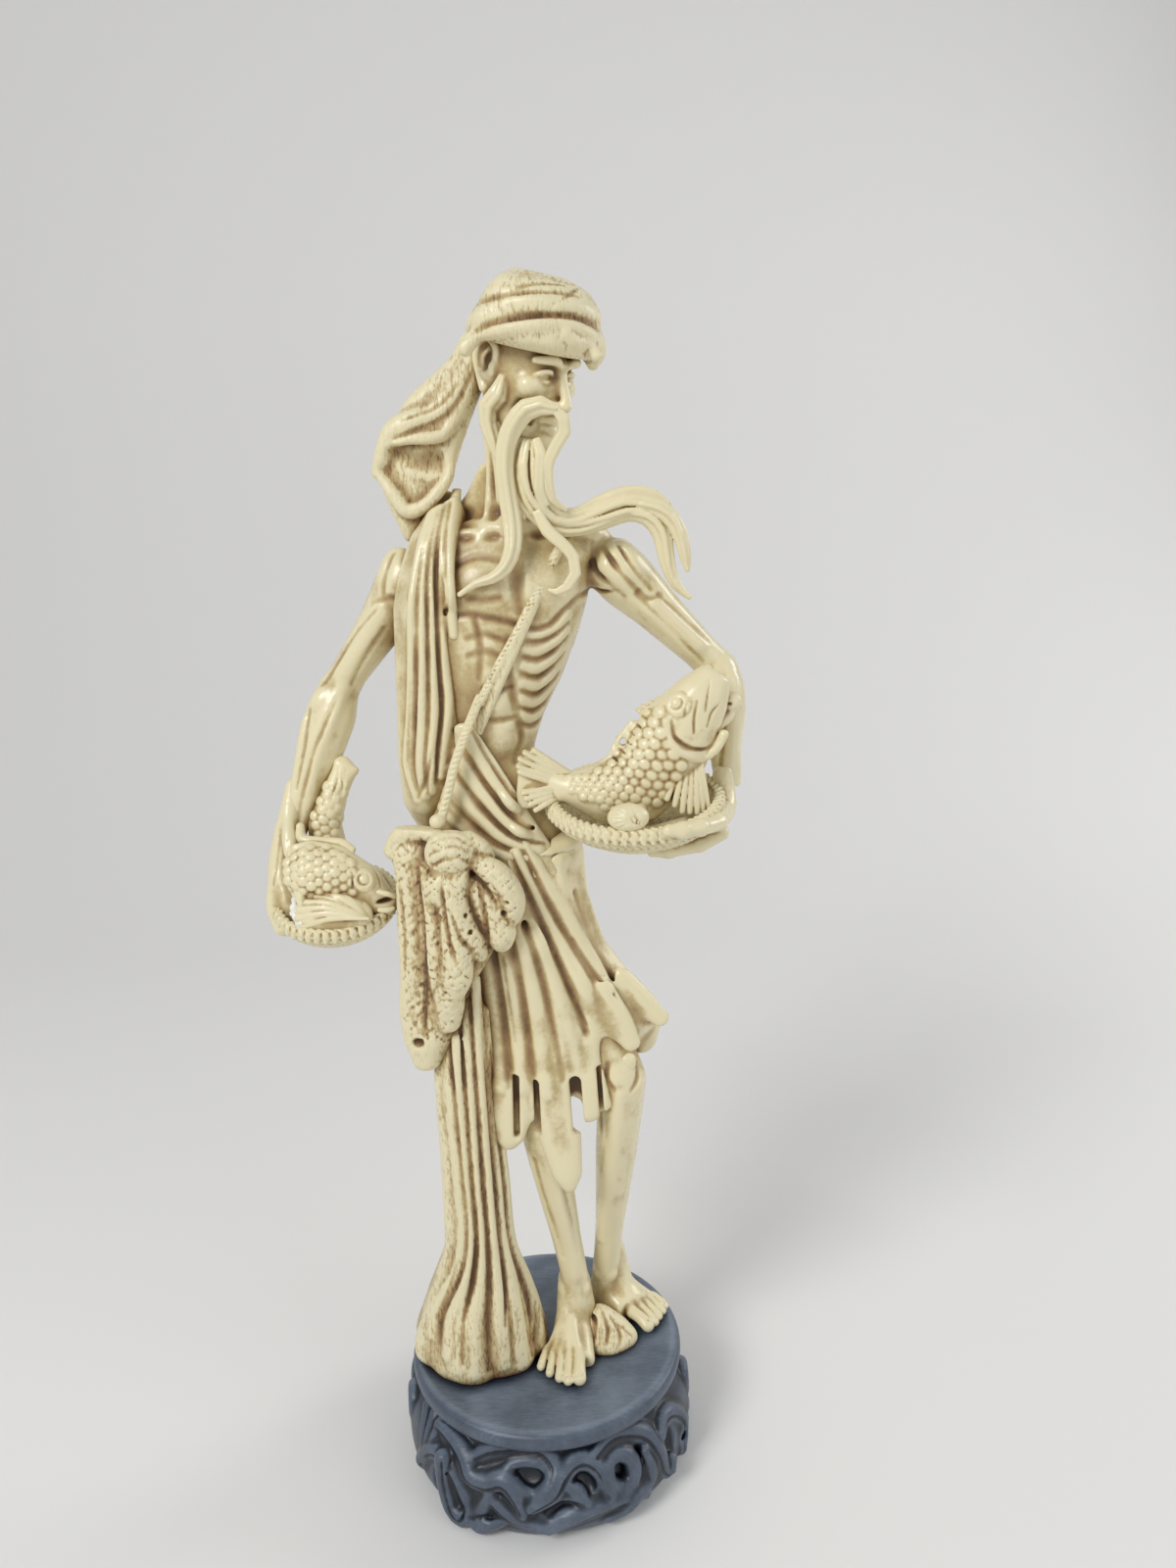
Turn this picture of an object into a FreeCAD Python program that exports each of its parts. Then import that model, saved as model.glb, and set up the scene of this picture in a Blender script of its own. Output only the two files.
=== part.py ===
import FreeCAD, Part
import math
import os

import Sketcher

Vector = FreeCAD.Vector
Rotation = FreeCAD.Rotation
Placement = FreeCAD.Placement

# An okimono of a lean old fisherman on a round scroll-carved stand, in millimetres.
# The frame: Z is up, the floor is Z = 0, the stand's axis is X = Y = 0, and the figure faces -Y.
# Right and left are the figure's own, so its right hand is on the -X side.

# Driving sizes of the stand
STAND_SIZES = {
    "stand_height": 40.0,
    "plate_radius": 50.0,
    "plate_thickness": 7.0,
    "plate_edge_radius": 2.25,
    "neck_radius": 45.0,
    "neck_height": 2.0,
    "drum_radius": 46.5,
    "drum_shoulder_height": 19.0,
    "vine_radius": 2.7,
    "vine_swing": 10.0,
    "vine_proud": 1.3,
    "vine_weave": 0.8,
    "foot_press": 0.3,
    "volute_radius": 5.0,
    "volute_tube_radius": 1.7,
    "leaf_length": 13.0,
    "leaf_width": 6.0,
    "leaf_thickness": 3.6,
}

# Driving sizes of the figure: half widths, half depths and radii
FIGURE_SIZES = {
    "hip_half_width": 23.0,
    "hip_half_depth": 16.5,
    "waist_half_width": 17.0,
    "waist_half_depth": 14.0,
    "chest_half_width": 28.0,
    "chest_half_depth": 18.0,
    "collar_half_width": 20.0,
    "collar_half_depth": 9.5,
    "neck_radius_across": 7.0,
    "neck_radius_deep": 7.6,
    "head_height": 44.0,
    "head_half_width": 13.2,
    "head_half_depth": 16.6,
    "head_turn": 50.0,
    "head_bow": 17.0,
    "nose_length": 5.0,
    "ear_height": 14.0,
    "ear_width": 8.0,
    "ear_thickness": 3.6,
    "hat_half_width": 21.0,
    "hat_half_depth": 23.5,
    "hat_height": 20.0,
    "hat_tail_half_width": 12.5,
    "hat_tail_thickness": 9.0,
    "hat_tail_swing": 8.0,
    "beard_radius": 5.4,
    "beard_reach": 47.0,
    "beard_drop": 46.0,
    "beard_curl_radius": 1.9,
    "beard_curl_reach": 12.0,
    "beard_curl_drop": 29.0,
    "moustache_radius": 1.8,
    "long_moustache_reach": 31.0,
    "long_moustache_drop": 51.0,
    "short_moustache_reach": 6.6,
    "short_moustache_drop": 33.0,
    "shoulder_radius": 9.4,
    "forearm_radius": 8.4,
    "hand_half_width": 9.0,
    "hand_thickness": 6.4,
    "finger_radius": 2.3,
    "thigh_radius": 10.0,
    "knee_radius": 8.6,
    "foot_length": 38.0,
    "foot_half_width": 8.6,
    "foot_height": 15.0,
    "toe_radius": 2.3,
    "big_toe_radius": 2.9,
    "right_foot_turn": -6.0,
    "left_foot_turn": 62.0,
    "sole_sink": 0.6,
}

# Driving sizes of what the figure wears and carries
DRESS_SIZES = {
    "robe_half_width": 13.0,
    "robe_half_depth": 19.5,
    "wrap_thickness": 3.0,
    "skirt_half_width": 25.0,
    "skirt_half_depth": 18.5,
    "skirt_length": 86.0,
    "skirt_flare": 12.0,
    "hem_lobe_half_width": 8.0,
    "hem_lobe_thickness": 5.0,
    "hem_lobe_length": 24.0,
    "sash_radius": 3.5,
    "sash_slant": 18.0,
    "cord_half_width": 2.0,
    "cord_thickness": 2.4,
    "right_basket_radius": 19.0,
    "right_basket_depth": 9.5,
    "right_basket_tilt": 18.0,
    "left_basket_radius": 27.5,
    "left_basket_depth": 11.0,
    "left_basket_tilt": 15.0,
    "right_basket_foot_radius": 11.0,
    "left_basket_foot_radius": 16.0,
    "basket_wall": 2.4,
    "basket_rim_height": 2.2,
    "right_carp_length": 40.0,
    "right_carp_half_height": 11.5,
    "right_carp_half_width": 9.0,
    "left_carp_length": 80.0,
    "left_carp_half_height": 13.5,
    "left_carp_half_width": 9.5,
    "carp_fin_thickness": 2.4,
    "carp_tail_radius": 6.2,
    "carp_tail_length": 34.0,
    "cockle_half_width": 12.5,
    "cockle_height": 9.0,
    "small_shell_half_width": 6.0,
    "small_shell_height": 5.0,
    "net_bundle_half_width": 17.0,
    "net_bundle_half_depth": 9.5,
    "net_bundle_length": 80.0,
    "net_knot_radius": 7.5,
    "net_loop_radius": 5.4,
    "net_fall_half_width": 10.0,
    "net_fall_half_depth": 7.5,
    "net_foot_half_width": 23.0,
    "net_foot_half_depth": 23.5,
    "net_foot_rise": 46.0,
    "net_spill_half_width": 11.5,
    "net_spill_rise": 11.0,
}

# Sizes of the hidden pegs
DOWEL_SIZES = {
    "thin_dowel_radius": 1.4,
    "thin_dowel_length": 12.0,
    "thick_dowel_radius": 2.4,
    "thick_dowel_length": 16.0,
}

# Joints of the figure: X, Y and the height above the stand's plate
LANDMARKS = {
    "hips": (-7.0, 2.0, 185.0),
    "waist": (-14.0, 2.0, 222.0),
    "chest": (-6.5, 1.0, 270.0),
    "collar": (-4.0, 0.0, 293.0),
    "skull": (5.0, -6.0, 340.0),
    "right_shoulder": (-32.0, 4.0, 281.0),
    "right_elbow": (-60.5, 8.0, 243.0),
    "right_wrist": (-79.0, -3.0, 192.0),
    "left_shoulder": (28.0, 4.0, 283.0),
    "left_elbow": (65.0, 9.0, 246.0),
    "left_wrist": (67.0, -5.0, 206.0),
    "right_thigh": (-9.0, 0.0, 150.0),
    "right_knee": (-1.0, -4.0, 103.0),
    "right_ankle": (11.0, 1.0, 24.0),
    "left_thigh": (13.0, -1.0, 146.0),
    "left_knee": (30.0, -6.0, 106.0),
    "left_ankle": (23.0, 12.0, 24.0),
    "net_knot": (-25.0, -20.0, 184.0),
    "net_foot": (-25.0, -1.0, 0.0),
    "net_spill": (22.0, -5.0, 0.0),
}

# Where each basket's middle lies from the wrist that carries it
BASKET_OFFSETS = {
    "right_basket": (16.0, -6.0, -17.0),
    "left_basket": (-31.0, -7.0, 0.0),
}

# Counts
VINE_WAVES = 8
VINE_STEPS_PER_WAVE = 6
VOLUTE_STEPS = 9
TUBE_SIDES = 5
PEG_SIDES = 8
CORD_STEPS = 8

document = FreeCAD.newDocument("okimono")
sheet = document.addObject("Spreadsheet::Sheet", "sizes")


def fill_sheet():
    """Write every driving size into the sheet, one row each, with its name as the alias."""
    rows = {}
    for group in (STAND_SIZES, FIGURE_SIZES, DRESS_SIZES, DOWEL_SIZES):
        rows.update(group)
    for name, place in list(LANDMARKS.items()) + list(BASKET_OFFSETS.items()):
        for axis, value in zip(("side", "front", "height"), place):
            rows[f"{name}_{axis}"] = value
    for number, (name, value) in enumerate(rows.items(), start=1):
        sheet.set(f"A{number}", name)
        sheet.set(f"B{number}", str(value))
        sheet.setAlias(f"B{number}", name)
    document.recompute()


fill_sheet()


def size(name):
    """A driving size, as the sheet holds it."""
    return float(sheet.get(name))


def offset(name):
    return Vector(size(f"{name}_side"), size(f"{name}_front"), size(f"{name}_height"))


def joint(name):
    """A landmark of the figure, lifted onto the stand."""
    return offset(name) + Vector(0, 0, size("stand_height"))


def between(start, end, share):
    return start + (end - start) * share


# Faceted carving: a stack of sections with the same number of points, joined by flat facets


def section(centre, across, deep, side, front, sides=12, pleats=0, pleat_share=0.0, turn=0.0):
    """An oval ring of points; pleats make it wavy, as hanging cloth is."""
    points = []
    for number in range(sides):
        angle = 2 * math.pi * number / sides
        wave = 1 + pleat_share * math.cos(pleats * angle + turn)
        aside, ahead = across * wave * math.cos(angle), deep * wave * math.sin(angle)
        points.append(centre + side * aside + front * ahead)
    return points


def facets(label, rings, closed=False):
    """A solid of flat facets through the rings; closed joins the last ring to the first."""
    ends = [] if closed else [rings[0], rings[-1]]
    faces = [Part.Face(Part.makePolygon(ring + ring[:1])) for ring in ends]
    following = rings[1:] + (rings[:1] if closed else [])
    for low, high in zip(rings, following):
        count = len(low)
        for here in range(count):
            there = (here + 1) % count
            for corners in ((low[here], low[there], high[there]), (low[here], high[there], high[here])):
                faces.append(Part.Face(Part.makePolygon(list(corners) + [corners[0]])))
    shell = Part.makeShell(faces)
    shell.sewShape()
    solid = Part.makeSolid(Part.Shell(shell.Faces))
    if solid.Volume < 0:
        solid.reverse()
    piece = document.addObject("Part::Feature", label)
    piece.Shape = solid
    return piece


def level_form(label, rows, **look):
    """A form through level sections: each row is a centre, a half width and a half depth."""
    side, front = Vector(1, 0, 0), Vector(0, -1, 0)
    rings = [section(centre, across, deep, side, front, **look) for centre, across, deep in rows]
    return facets(label, rings)


def limb(label, rows, face=Vector(0, -1, 0), **look):
    """A form along a bent path, its sections square to the path; face is the way its depth looks."""
    centres = [row[0] for row in rows]
    rings = []
    for number, (centre, across, deep) in enumerate(rows):
        ahead = centres[min(number + 1, len(centres) - 1)]
        behind = centres[max(number - 1, 0)]
        run = (ahead - behind).normalize()
        side = run.cross(face).normalize()
        front = side.cross(run)
        rings.append(section(centre, across, deep, side, front, **look))
    return facets(label, rings)


def path_rows(start, reach, shares, across, deep=None):
    """Rows of a limb: each share row is X, Y and Z shares of the reach, then a share of the girth."""
    deep = across if deep is None else deep
    rows = []
    for x_share, y_share, z_share, girth_share in shares:
        place = start + Vector(reach.x * x_share, reach.y * y_share, reach.z * z_share)
        rows.append((place, across * girth_share, deep * girth_share))
    return rows


def fused(label, pieces):
    union = document.addObject("Part::MultiFuse", label)
    union.Shapes = pieces
    return union


def carved_to_fit(label, blank, neighbours):
    """Seat a blank on its neighbours: each of them is cut out of it, so the faces meet."""
    rest = blank
    for number, neighbour in enumerate(neighbours):
        cut = document.addObject("Part::Cut", f"{label}_seat_{number + 1}")
        cut.Base = rest
        cut.Tool = neighbour
        rest = cut
    rest.Label = label
    return rest


# Sketches


def value_of(text):
    """The number that an expression of the sheet's sizes gives."""
    return float(sheet.evalExpression(text))


def plane_of(body, role):
    return next(feature for feature in body.Origin.OriginFeatures if feature.Role == role)


def new_sketch(body, name):
    """A sketch on the body's own XZ plane, which looks along -Y."""
    sketch = body.newObject("Sketcher::SketchObject", name)
    sketch.AttachmentSupport = [(plane_of(body, "XZ_Plane"), "")]
    sketch.MapMode = "FlatFace"
    return sketch


def pin_down(sketch, geometry, point, across, up):
    """Fix a point of a sketch at two expressions of the sheet's sizes."""
    for kind, text in (("DistanceX", across), ("DistanceY", up)):
        number = sketch.addConstraint(Sketcher.Constraint(kind, -1, 1, geometry, point, value_of(text)))
        sketch.setExpression(f"Constraints[{number}]", text)


def draw_lines(sketch, places):
    """A closed outline of straight lines; each place is a pair of expressions."""
    corners = [Vector(value_of(across), value_of(up), 0) for across, up in places]
    first = sketch.GeometryCount
    count = len(corners)
    for number, corner in enumerate(corners):
        sketch.addGeometry(Part.LineSegment(corner, corners[(number + 1) % count]), False)
    for number, (across, up) in enumerate(places):
        following = first + (number + 1) % count
        sketch.addConstraint(Sketcher.Constraint("Coincident", first + number, 2, following, 1))
        pin_down(sketch, first + number, 1, across, up)


def turned(label, places):
    """A body turned about the Z axis from a straight-sided half profile."""
    body = document.addObject("PartDesign::Body", label)
    sketch = new_sketch(body, f"{label}_profile")
    draw_lines(sketch, places)
    turning = body.newObject("PartDesign::Revolution", f"{label}_turning")
    turning.Profile = sketch
    turning.ReferenceAxis = (sketch, ["V_Axis"])
    turning.Angle = 360
    document.recompute()
    return body


# The stand


PLATE_TOP = "sizes.stand_height"
PLATE_UNDERSIDE = "sizes.stand_height - sizes.plate_thickness"


def make_plate():
    body = turned(
        "stand_plate",
        [
            ("0", PLATE_UNDERSIDE),
            ("sizes.plate_radius", PLATE_UNDERSIDE),
            ("sizes.plate_radius", PLATE_TOP),
            ("0", PLATE_TOP),
        ],
    )
    disc = body.Tip
    rims = []
    for number, edge in enumerate(disc.Shape.Edges):
        if isinstance(edge.Curve, Part.Circle):
            rims.append(f"Edge{number + 1}")
    rounding = body.newObject("PartDesign::Chamfer", "plate_rounding")
    rounding.Base = (disc, rims)
    rounding.setExpression("Size", "sizes.plate_edge_radius")
    document.recompute()
    return body


def make_drum():
    """The solid block under the plate, drawn in to a neck that shadows the plate's edge."""
    underside = size("stand_height") - size("plate_thickness")
    outline = (
        (size("drum_radius"), 0.0),
        (size("drum_radius"), size("drum_shoulder_height")),
        (size("neck_radius"), underside - size("neck_height")),
        (size("neck_radius"), underside),
    )
    rows = [(Vector(0, 0, height), radius, radius) for radius, height in outline]
    return level_form("stand_drum", rows, sides=VINE_WAVES * VINE_STEPS_PER_WAVE)


def around(angle, radius, height):
    return Vector(radius * math.cos(angle), radius * math.sin(angle), height)


def make_vine(label, phase):
    """A vine that swings up and down round the drum and stands on the floor at each low point."""
    thick = size("vine_radius")
    middle = size("vine_swing") + size("vine_radius") - size("foot_press")
    steps = VINE_WAVES * VINE_STEPS_PER_WAVE
    rings = []
    for step in range(steps):
        turn = 2 * math.pi * step / steps
        wave = VINE_WAVES * turn + phase
        radius = size("drum_radius") + size("vine_proud") + size("vine_weave") * math.sin(wave)
        slope = -size("vine_swing") * VINE_WAVES * math.sin(wave) / radius
        out = around(turn, 1, 0)
        run = (around(turn + math.pi / 2, 1, 0) + Vector(0, 0, slope)).normalize()
        centre = around(turn, radius, middle + size("vine_swing") * math.cos(wave))
        across = out.cross(run)
        rings.append(section(centre, thick, thick, across, out, sides=TUBE_SIDES))
    return facets(label, rings, closed=True)


def make_volute(label, angle):
    """A small ring of vine that fills every other eye between the two vines."""
    middle = size("vine_swing") + size("vine_radius") - size("foot_press")
    out = around(angle, 1, 0)
    sideways = around(angle + math.pi / 2, 1, 0)
    centre = around(angle, size("drum_radius") + size("vine_proud"), middle)
    rings = []
    for step in range(VOLUTE_STEPS):
        turn = 2 * math.pi * step / VOLUTE_STEPS
        spoke = sideways * math.cos(turn) + Vector(0, 0, math.sin(turn))
        place = centre + spoke * size("volute_radius")
        thick = size("volute_tube_radius")
        rings.append(section(place, thick, thick, spoke, out, sides=TUBE_SIDES))
    return facets(label, rings, closed=True)


# Each section of a leaf: shares of its length up from the vine, of its width and of its thickness
LEAF_SHARES = ((0.0, 0.3, 0.5), (0.35, 1.0, 1.0), (0.7, 0.7, 0.7), (1.0, 0.08, 0.2))


def make_leaf(label, angle):
    foot = size("vine_swing") + size("vine_radius")
    sideways, out = around(angle + math.pi / 2, 1, 0), around(angle, 1, 0)
    rings = []
    for length_share, width_share, thick_share in LEAF_SHARES:
        centre = around(angle, size("drum_radius"), foot + size("leaf_length") * length_share)
        across, deep = size("leaf_width") / 2 * width_share, size("leaf_thickness") * thick_share
        rings.append(section(centre, across, deep, sideways, out, sides=6))
    return facets(label, rings)


def make_scrollwork(drum):
    """Two interlaced vines, with a volute in every other eye and a leaf over every other crossing."""
    pieces = [make_vine("rising_vine", 0.0), make_vine("falling_vine", math.pi)]
    for number in range(VINE_WAVES):
        eye = 2 * math.pi * number / VINE_WAVES
        pieces.append(make_volute(f"volute_{number + 1}", eye))
        pieces.append(make_leaf(f"leaf_{number + 1}", eye + math.pi / VINE_WAVES / 2))
    vines = fused("vines", pieces)
    floor = document.addObject("Part::Box", "floor")
    for side in ("Length", "Width"):
        floor.setExpression(side, "sizes.plate_radius * 3")
    floor.setExpression("Height", "sizes.vine_radius")
    for axis in ("x", "y"):
        floor.setExpression(f"Placement.Base.{axis}", "-sizes.plate_radius * 1.5")
    floor.setExpression("Placement.Base.z", "-sizes.vine_radius")
    return carved_to_fit("stand_scrollwork", vines, [drum, floor])


# The body


def limb_rows(start, end, girth, shares):
    """Rows along a straight bone: each share row is a place along it, a half width and a half depth."""
    return [(between(start, end, along), girth * across, girth * deep) for along, across, deep in shares]


# Each section of the torso: from one landmark to the next, how far along, whose girth, and its shares
TORSO_SHARES = (
    ("hips", "waist", -0.1, "hip", 1.0, 1.0),
    ("hips", "waist", 0.38, "hip", 0.93, 0.98),
    ("hips", "waist", 0.76, "waist", 1.12, 1.08),
    ("waist", "chest", 0.0, "waist", 1.0, 1.0),
    ("waist", "chest", 0.25, "waist", 1.12, 1.1),
    ("waist", "chest", 0.5, "chest", 0.84, 0.97),
    ("waist", "chest", 0.8, "chest", 0.97, 1.02),
    ("chest", "collar", 0.1, "chest", 1.03, 0.95),
    ("chest", "collar", 0.6, "chest", 1.0, 0.74),
    ("chest", "collar", 1.0, "collar", 1.0, 1.0),
)


def torso_rows(grow=0.0):
    rows = []
    for low, high, along, girth, across, deep in TORSO_SHARES:
        half_width = size(f"{girth}_half_width") * across + grow
        half_depth = size(f"{girth}_half_depth") * deep + grow
        rows.append((between(joint(low), joint(high), along), half_width, half_depth))
    return rows


def torso_front(across, height):
    """The point of the torso's front at a place across and up, worked out from its sections."""
    rows = torso_rows()
    for low, high in zip(rows, rows[1:]):
        if low[0].z <= height <= high[0].z:
            break
    share = min(max((height - low[0].z) / (high[0].z - low[0].z), 0.0), 1.0)
    centre = between(low[0], high[0], share)
    half_width = low[1] + (high[1] - low[1]) * share
    half_depth = low[2] + (high[2] - low[2]) * share
    reach = min(abs(across - centre.x) / half_width, 0.95)
    return Vector(across, centre.y - half_depth * math.sqrt(1 - reach * reach), height)


def head_axes():
    """The head's own side, front and up: turned to its left and bowed."""
    turn = Rotation(Vector(0, 0, 1), size("head_turn"))
    facing = turn.multVec(Vector(0, -1, 0))
    side = turn.multVec(Vector(1, 0, 0))
    bow = Rotation(side, size("head_bow"))
    return side, bow.multVec(facing), bow.multVec(Vector(0, 0, 1))


def head_point(across=0.0, ahead=0.0, up=0.0):
    """A place on the head, in shares of its half width, its half depth and its height."""
    side, front, rise = head_axes()
    place = joint("skull") + side * (size("head_half_width") * across)
    return place + front * (size("head_half_depth") * ahead) + rise * (size("head_height") * up)


# Each section of the head from the chin up: shares of its height, of its depth ahead, its width and depth
HEAD_SHARES = (
    (-0.5, 0.62, 0.3, 0.26),
    (-0.4, 0.42, 0.56, 0.52),
    (-0.24, 0.16, 0.8, 0.86),
    (-0.02, 0.02, 0.97, 0.98),
    (0.16, 0.0, 1.0, 1.0),
    (0.36, -0.02, 0.9, 0.92),
    (0.5, -0.04, 0.5, 0.54),
)
NECK_SHARES = ((-0.35, 1.15, 1.0), (0.0, 1.05, 1.0), (0.4, 0.95, 0.98), (1.0, 1.1, 1.05))
# The nose from the brow down: shares of the head's depth ahead, its height up, then of the nose's own girth
NOSE_SHARES = ((0.98, 0.1, 0.06), (1.2, -0.06, 0.17), (0.96, -0.2, 0.1))
# An ear from its lobe up: shares of its height and of its width
EAR_SHARES = ((-0.5, 0.45), (-0.2, 0.7), (0.2, 1.0), (0.5, 0.6))
# Where an ear sits: shares of the head's half width to the side and of its half depth ahead
EAR_PLACE_SHARES = (0.98, -0.05)


def make_head():
    side, front, rise = head_axes()
    rings = []
    for up, ahead, across, deep in HEAD_SHARES:
        half_width = size("head_half_width") * across
        half_depth = size("head_half_depth") * deep
        rings.append(section(head_point(0, ahead, up), half_width, half_depth, side, front, sides=14))
    skull = facets("skull", rings)
    nape = head_point(0, -0.1, -0.1)
    across, deep = size("neck_radius_across"), size("neck_radius_deep")
    rows = []
    for along, wide, thick in NECK_SHARES:
        rows.append((between(joint("collar"), nape, along), across * wide, deep * thick))
    pieces = [skull, limb("neck", rows, sides=10)]
    rows = []
    for ahead, up, girth in NOSE_SHARES:
        thick = size("nose_length") * girth
        rows.append((head_point(0, ahead, up), thick * 2, thick))
    pieces.append(limb("nose", rows, face=front, sides=6))
    aside, ahead = EAR_PLACE_SHARES
    for sign in (-1, 1):
        middle = head_point(aside * sign, ahead, 0)
        rows = []
        for up, wide in EAR_SHARES:
            centre = middle + rise * (size("ear_height") * up)
            rows.append((centre, size("ear_thickness") / 2, size("ear_width") / 2 * wide))
        pieces.append(limb(f"ear_{sign}", rows, face=front, sides=6))
    return fused("head_blank", pieces)


# Each section of the hat: shares of its height above the brow, of its width and of its depth
HAT_SHARES = (
    (0.0, 0.86, 0.86),
    (0.12, 1.0, 1.0),
    (0.36, 0.98, 0.97),
    (0.46, 0.88, 0.87),
    (0.66, 0.9, 0.86),
    (0.88, 0.72, 0.7),
    (1.0, 0.36, 0.34),
)


def make_hat():
    """A rolled brim and a soft crown; the head is cut out of it, which leaves its wall."""
    side, front, rise = head_axes()
    rings = []
    for up, across, deep in HAT_SHARES:
        centre = head_point(0, -0.02, 0.14) + rise * (size("hat_height") * up)
        half_width, half_depth = size("hat_half_width") * across, size("hat_half_depth") * deep
        rings.append(section(centre, half_width, half_depth, side, front, sides=18))
    return facets("hat_blank", rings)


# Each section of the hat's tail: how far along to the shoulder, how far out, its width and thickness
HAT_TAIL_SHARES = (
    (0.0, 0.0, 0.4, 0.7),
    (0.2, 0.12, 0.5, 0.7),
    (0.42, 0.7, 0.85, 0.6),
    (0.62, 0.86, 1.0, 0.5),
    (0.8, 0.55, 0.74, 0.5),
    (0.94, 0.15, 0.4, 0.4),
    (1.02, 0.0, 0.2, 0.3),
)


def make_hat_tail():
    start = head_point(-0.2, -0.9, 0.2)
    end = joint("right_shoulder") + Vector(0, 0, size("shoulder_radius"))
    rows = []
    for along, swing, wide, thick in HAT_TAIL_SHARES:
        centre = between(start, end, along) + Vector(-size("hat_tail_swing") * swing, 0, 0)
        rows.append((centre, size("hat_tail_half_width") * wide, size("hat_tail_thickness") * thick))
    return limb("hat_tail_blank", rows, sides=12, pleats=3, pleat_share=0.12)


# Paths of the beard and the moustaches: shares of the reach aside, the girth away, the drop, then the girth
PLUME_SHARES = (
    (0.0, 0.0, 0.1, 0.5),
    (-0.07, -0.3, -0.2, 0.85),
    (-0.06, -0.3, -0.38, 1.0),
    (0.06, 0.0, -0.47, 0.95),
    (0.25, 0.4, -0.47, 0.9),
    (0.47, 0.9, -0.39, 0.95),
    (0.66, 1.1, -0.36, 1.0),
    (0.8, 1.2, -0.45, 0.95),
    (0.88, 1.2, -0.64, 0.85),
    (0.92, 1.2, -0.84, 0.6),
    (0.98, 1.2, -0.99, 0.15),
)
CURL_SHARES = (
    (0.0, 0.0, 0.0, 1.0),
    (0.3, -0.4, -0.22, 1.0),
    (0.72, 0.2, -0.38, 1.0),
    (1.0, 0.6, -0.55, 0.95),
    (0.95, 0.0, -0.75, 0.9),
    (0.65, -0.4, -0.87, 0.75),
    (0.4, -0.4, -0.82, 0.3),
)
LONG_MOUSTACHE_SHARES = (
    (0.0, 0.0, 0.0, 0.6),
    (0.18, -0.6, 0.02, 1.0),
    (0.37, 0.2, -0.05, 1.0),
    (0.46, 1.4, -0.19, 1.0),
    (0.5, 2.0, -0.36, 1.0),
    (0.47, 2.6, -0.54, 1.0),
    (0.44, 2.6, -0.66, 1.0),
    (0.52, 2.2, -0.8, 0.9),
    (0.72, 2.0, -0.9, 0.75),
    (1.0, 2.2, -0.99, 0.3),
)
SHORT_MOUSTACHE_SHARES = (
    (0.0, 0.0, 0.0, 0.6),
    (0.4, -0.6, -0.03, 1.0),
    (0.45, -0.4, -0.25, 1.0),
    (0.1, 0.4, -0.5, 1.0),
    (-0.1, 1.2, -0.75, 0.9),
    (0.1, 1.6, -1.0, 0.4),
)


def strand(label, start, reach, girth, drop, shares, sides=6):
    """A lock of hair along a hand-laid path."""
    return limb(label, path_rows(start, Vector(reach, girth, drop), shares, girth), sides=sides)


def make_beard():
    chin = head_point(0, 0.74, -0.5)
    reach, drop, girth = size("beard_reach"), size("beard_drop"), size("beard_radius")
    plume = strand("plume_blank", chin, reach, girth, drop, PLUME_SHARES, sides=10)
    root = chin + Vector(PLUME_SHARES[2][0] * reach, -girth * 0.8, drop * PLUME_SHARES[2][2])
    curl_sizes = size("beard_curl_reach"), size("beard_curl_radius"), size("beard_curl_drop")
    curl = strand("curl_blank", root, *curl_sizes, CURL_SHARES)
    return plume, curl


def make_moustaches():
    lip = head_point(0, 0.88, -0.27)
    girth = size("moustache_radius")
    reach, drop = size("long_moustache_reach"), size("long_moustache_drop")
    right = strand("right_moustache_blank", lip, -reach, girth, drop, LONG_MOUSTACHE_SHARES)
    reach, drop = size("short_moustache_reach"), size("short_moustache_drop")
    left = strand("left_moustache_blank", lip, reach, girth, drop, SHORT_MOUSTACHE_SHARES)
    return right, left


# Sections of the limbs: shares along the bone, then of the girth in half width and half depth
UPPER_ARM_SHARES = ((0.0, 0.95, 1.0), (0.2, 1.0, 1.0), (0.45, 0.8, 0.84), (0.85, 0.62, 0.7))
FOREARM_SHARES = (
    (0.0, 0.78, 0.78),
    (0.16, 1.0, 0.85),
    (0.36, 0.95, 0.78),
    (0.65, 0.62, 0.56),
    (0.94, 0.5, 0.48),
)
UPPER_LEG_SHARES = ((0.0, 1.0, 1.0), (0.6, 0.9, 0.95))
SHIN_SHARES = (
    (0.0, 1.0, 1.05),
    (0.16, 0.92, 1.08),
    (0.38, 0.85, 0.98),
    (0.6, 0.72, 0.8),
    (0.8, 0.6, 0.66),
    (1.0, 0.56, 0.7),
    (1.2, 0.6, 0.8),
)
# Sections of a foot from heel to toes: shares of its length, half width and height
FOOT_SHARES = (
    (0.0, 0.55, 0.55),
    (0.16, 0.66, 0.9),
    (0.36, 0.75, 0.85),
    (0.56, 0.92, 0.6),
    (0.74, 1.0, 0.42),
)
# Each toe from the big one on: shares of the foot's half width aside and of its length
TOE_SHARES = ((-0.8, 0.94), (-0.42, 1.0), (0.0, 0.98), (0.4, 0.93), (0.78, 0.84))


def make_arm(name):
    shoulder, elbow, wrist = (joint(f"{name}_{part}") for part in ("shoulder", "elbow", "wrist"))
    rows = limb_rows(shoulder, elbow, size("shoulder_radius"), UPPER_ARM_SHARES)
    rows += limb_rows(elbow, wrist, size("forearm_radius"), FOREARM_SHARES)
    return limb(f"{name}_arm_blank", rows, sides=10)


# Where a foot's heel lies behind the ankle, where its toes begin and how wide they spread, as shares
HEEL_SHARE = 0.24
INSTEP_SHARE = 0.62
TOE_SPREAD_SHARE = 0.86
# Each section of a toe: a share of its length, then of its girth
TOE_LENGTH_SHARES = ((0.0, 1.0), (0.7, 1.0), (1.0, 0.6))


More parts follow.
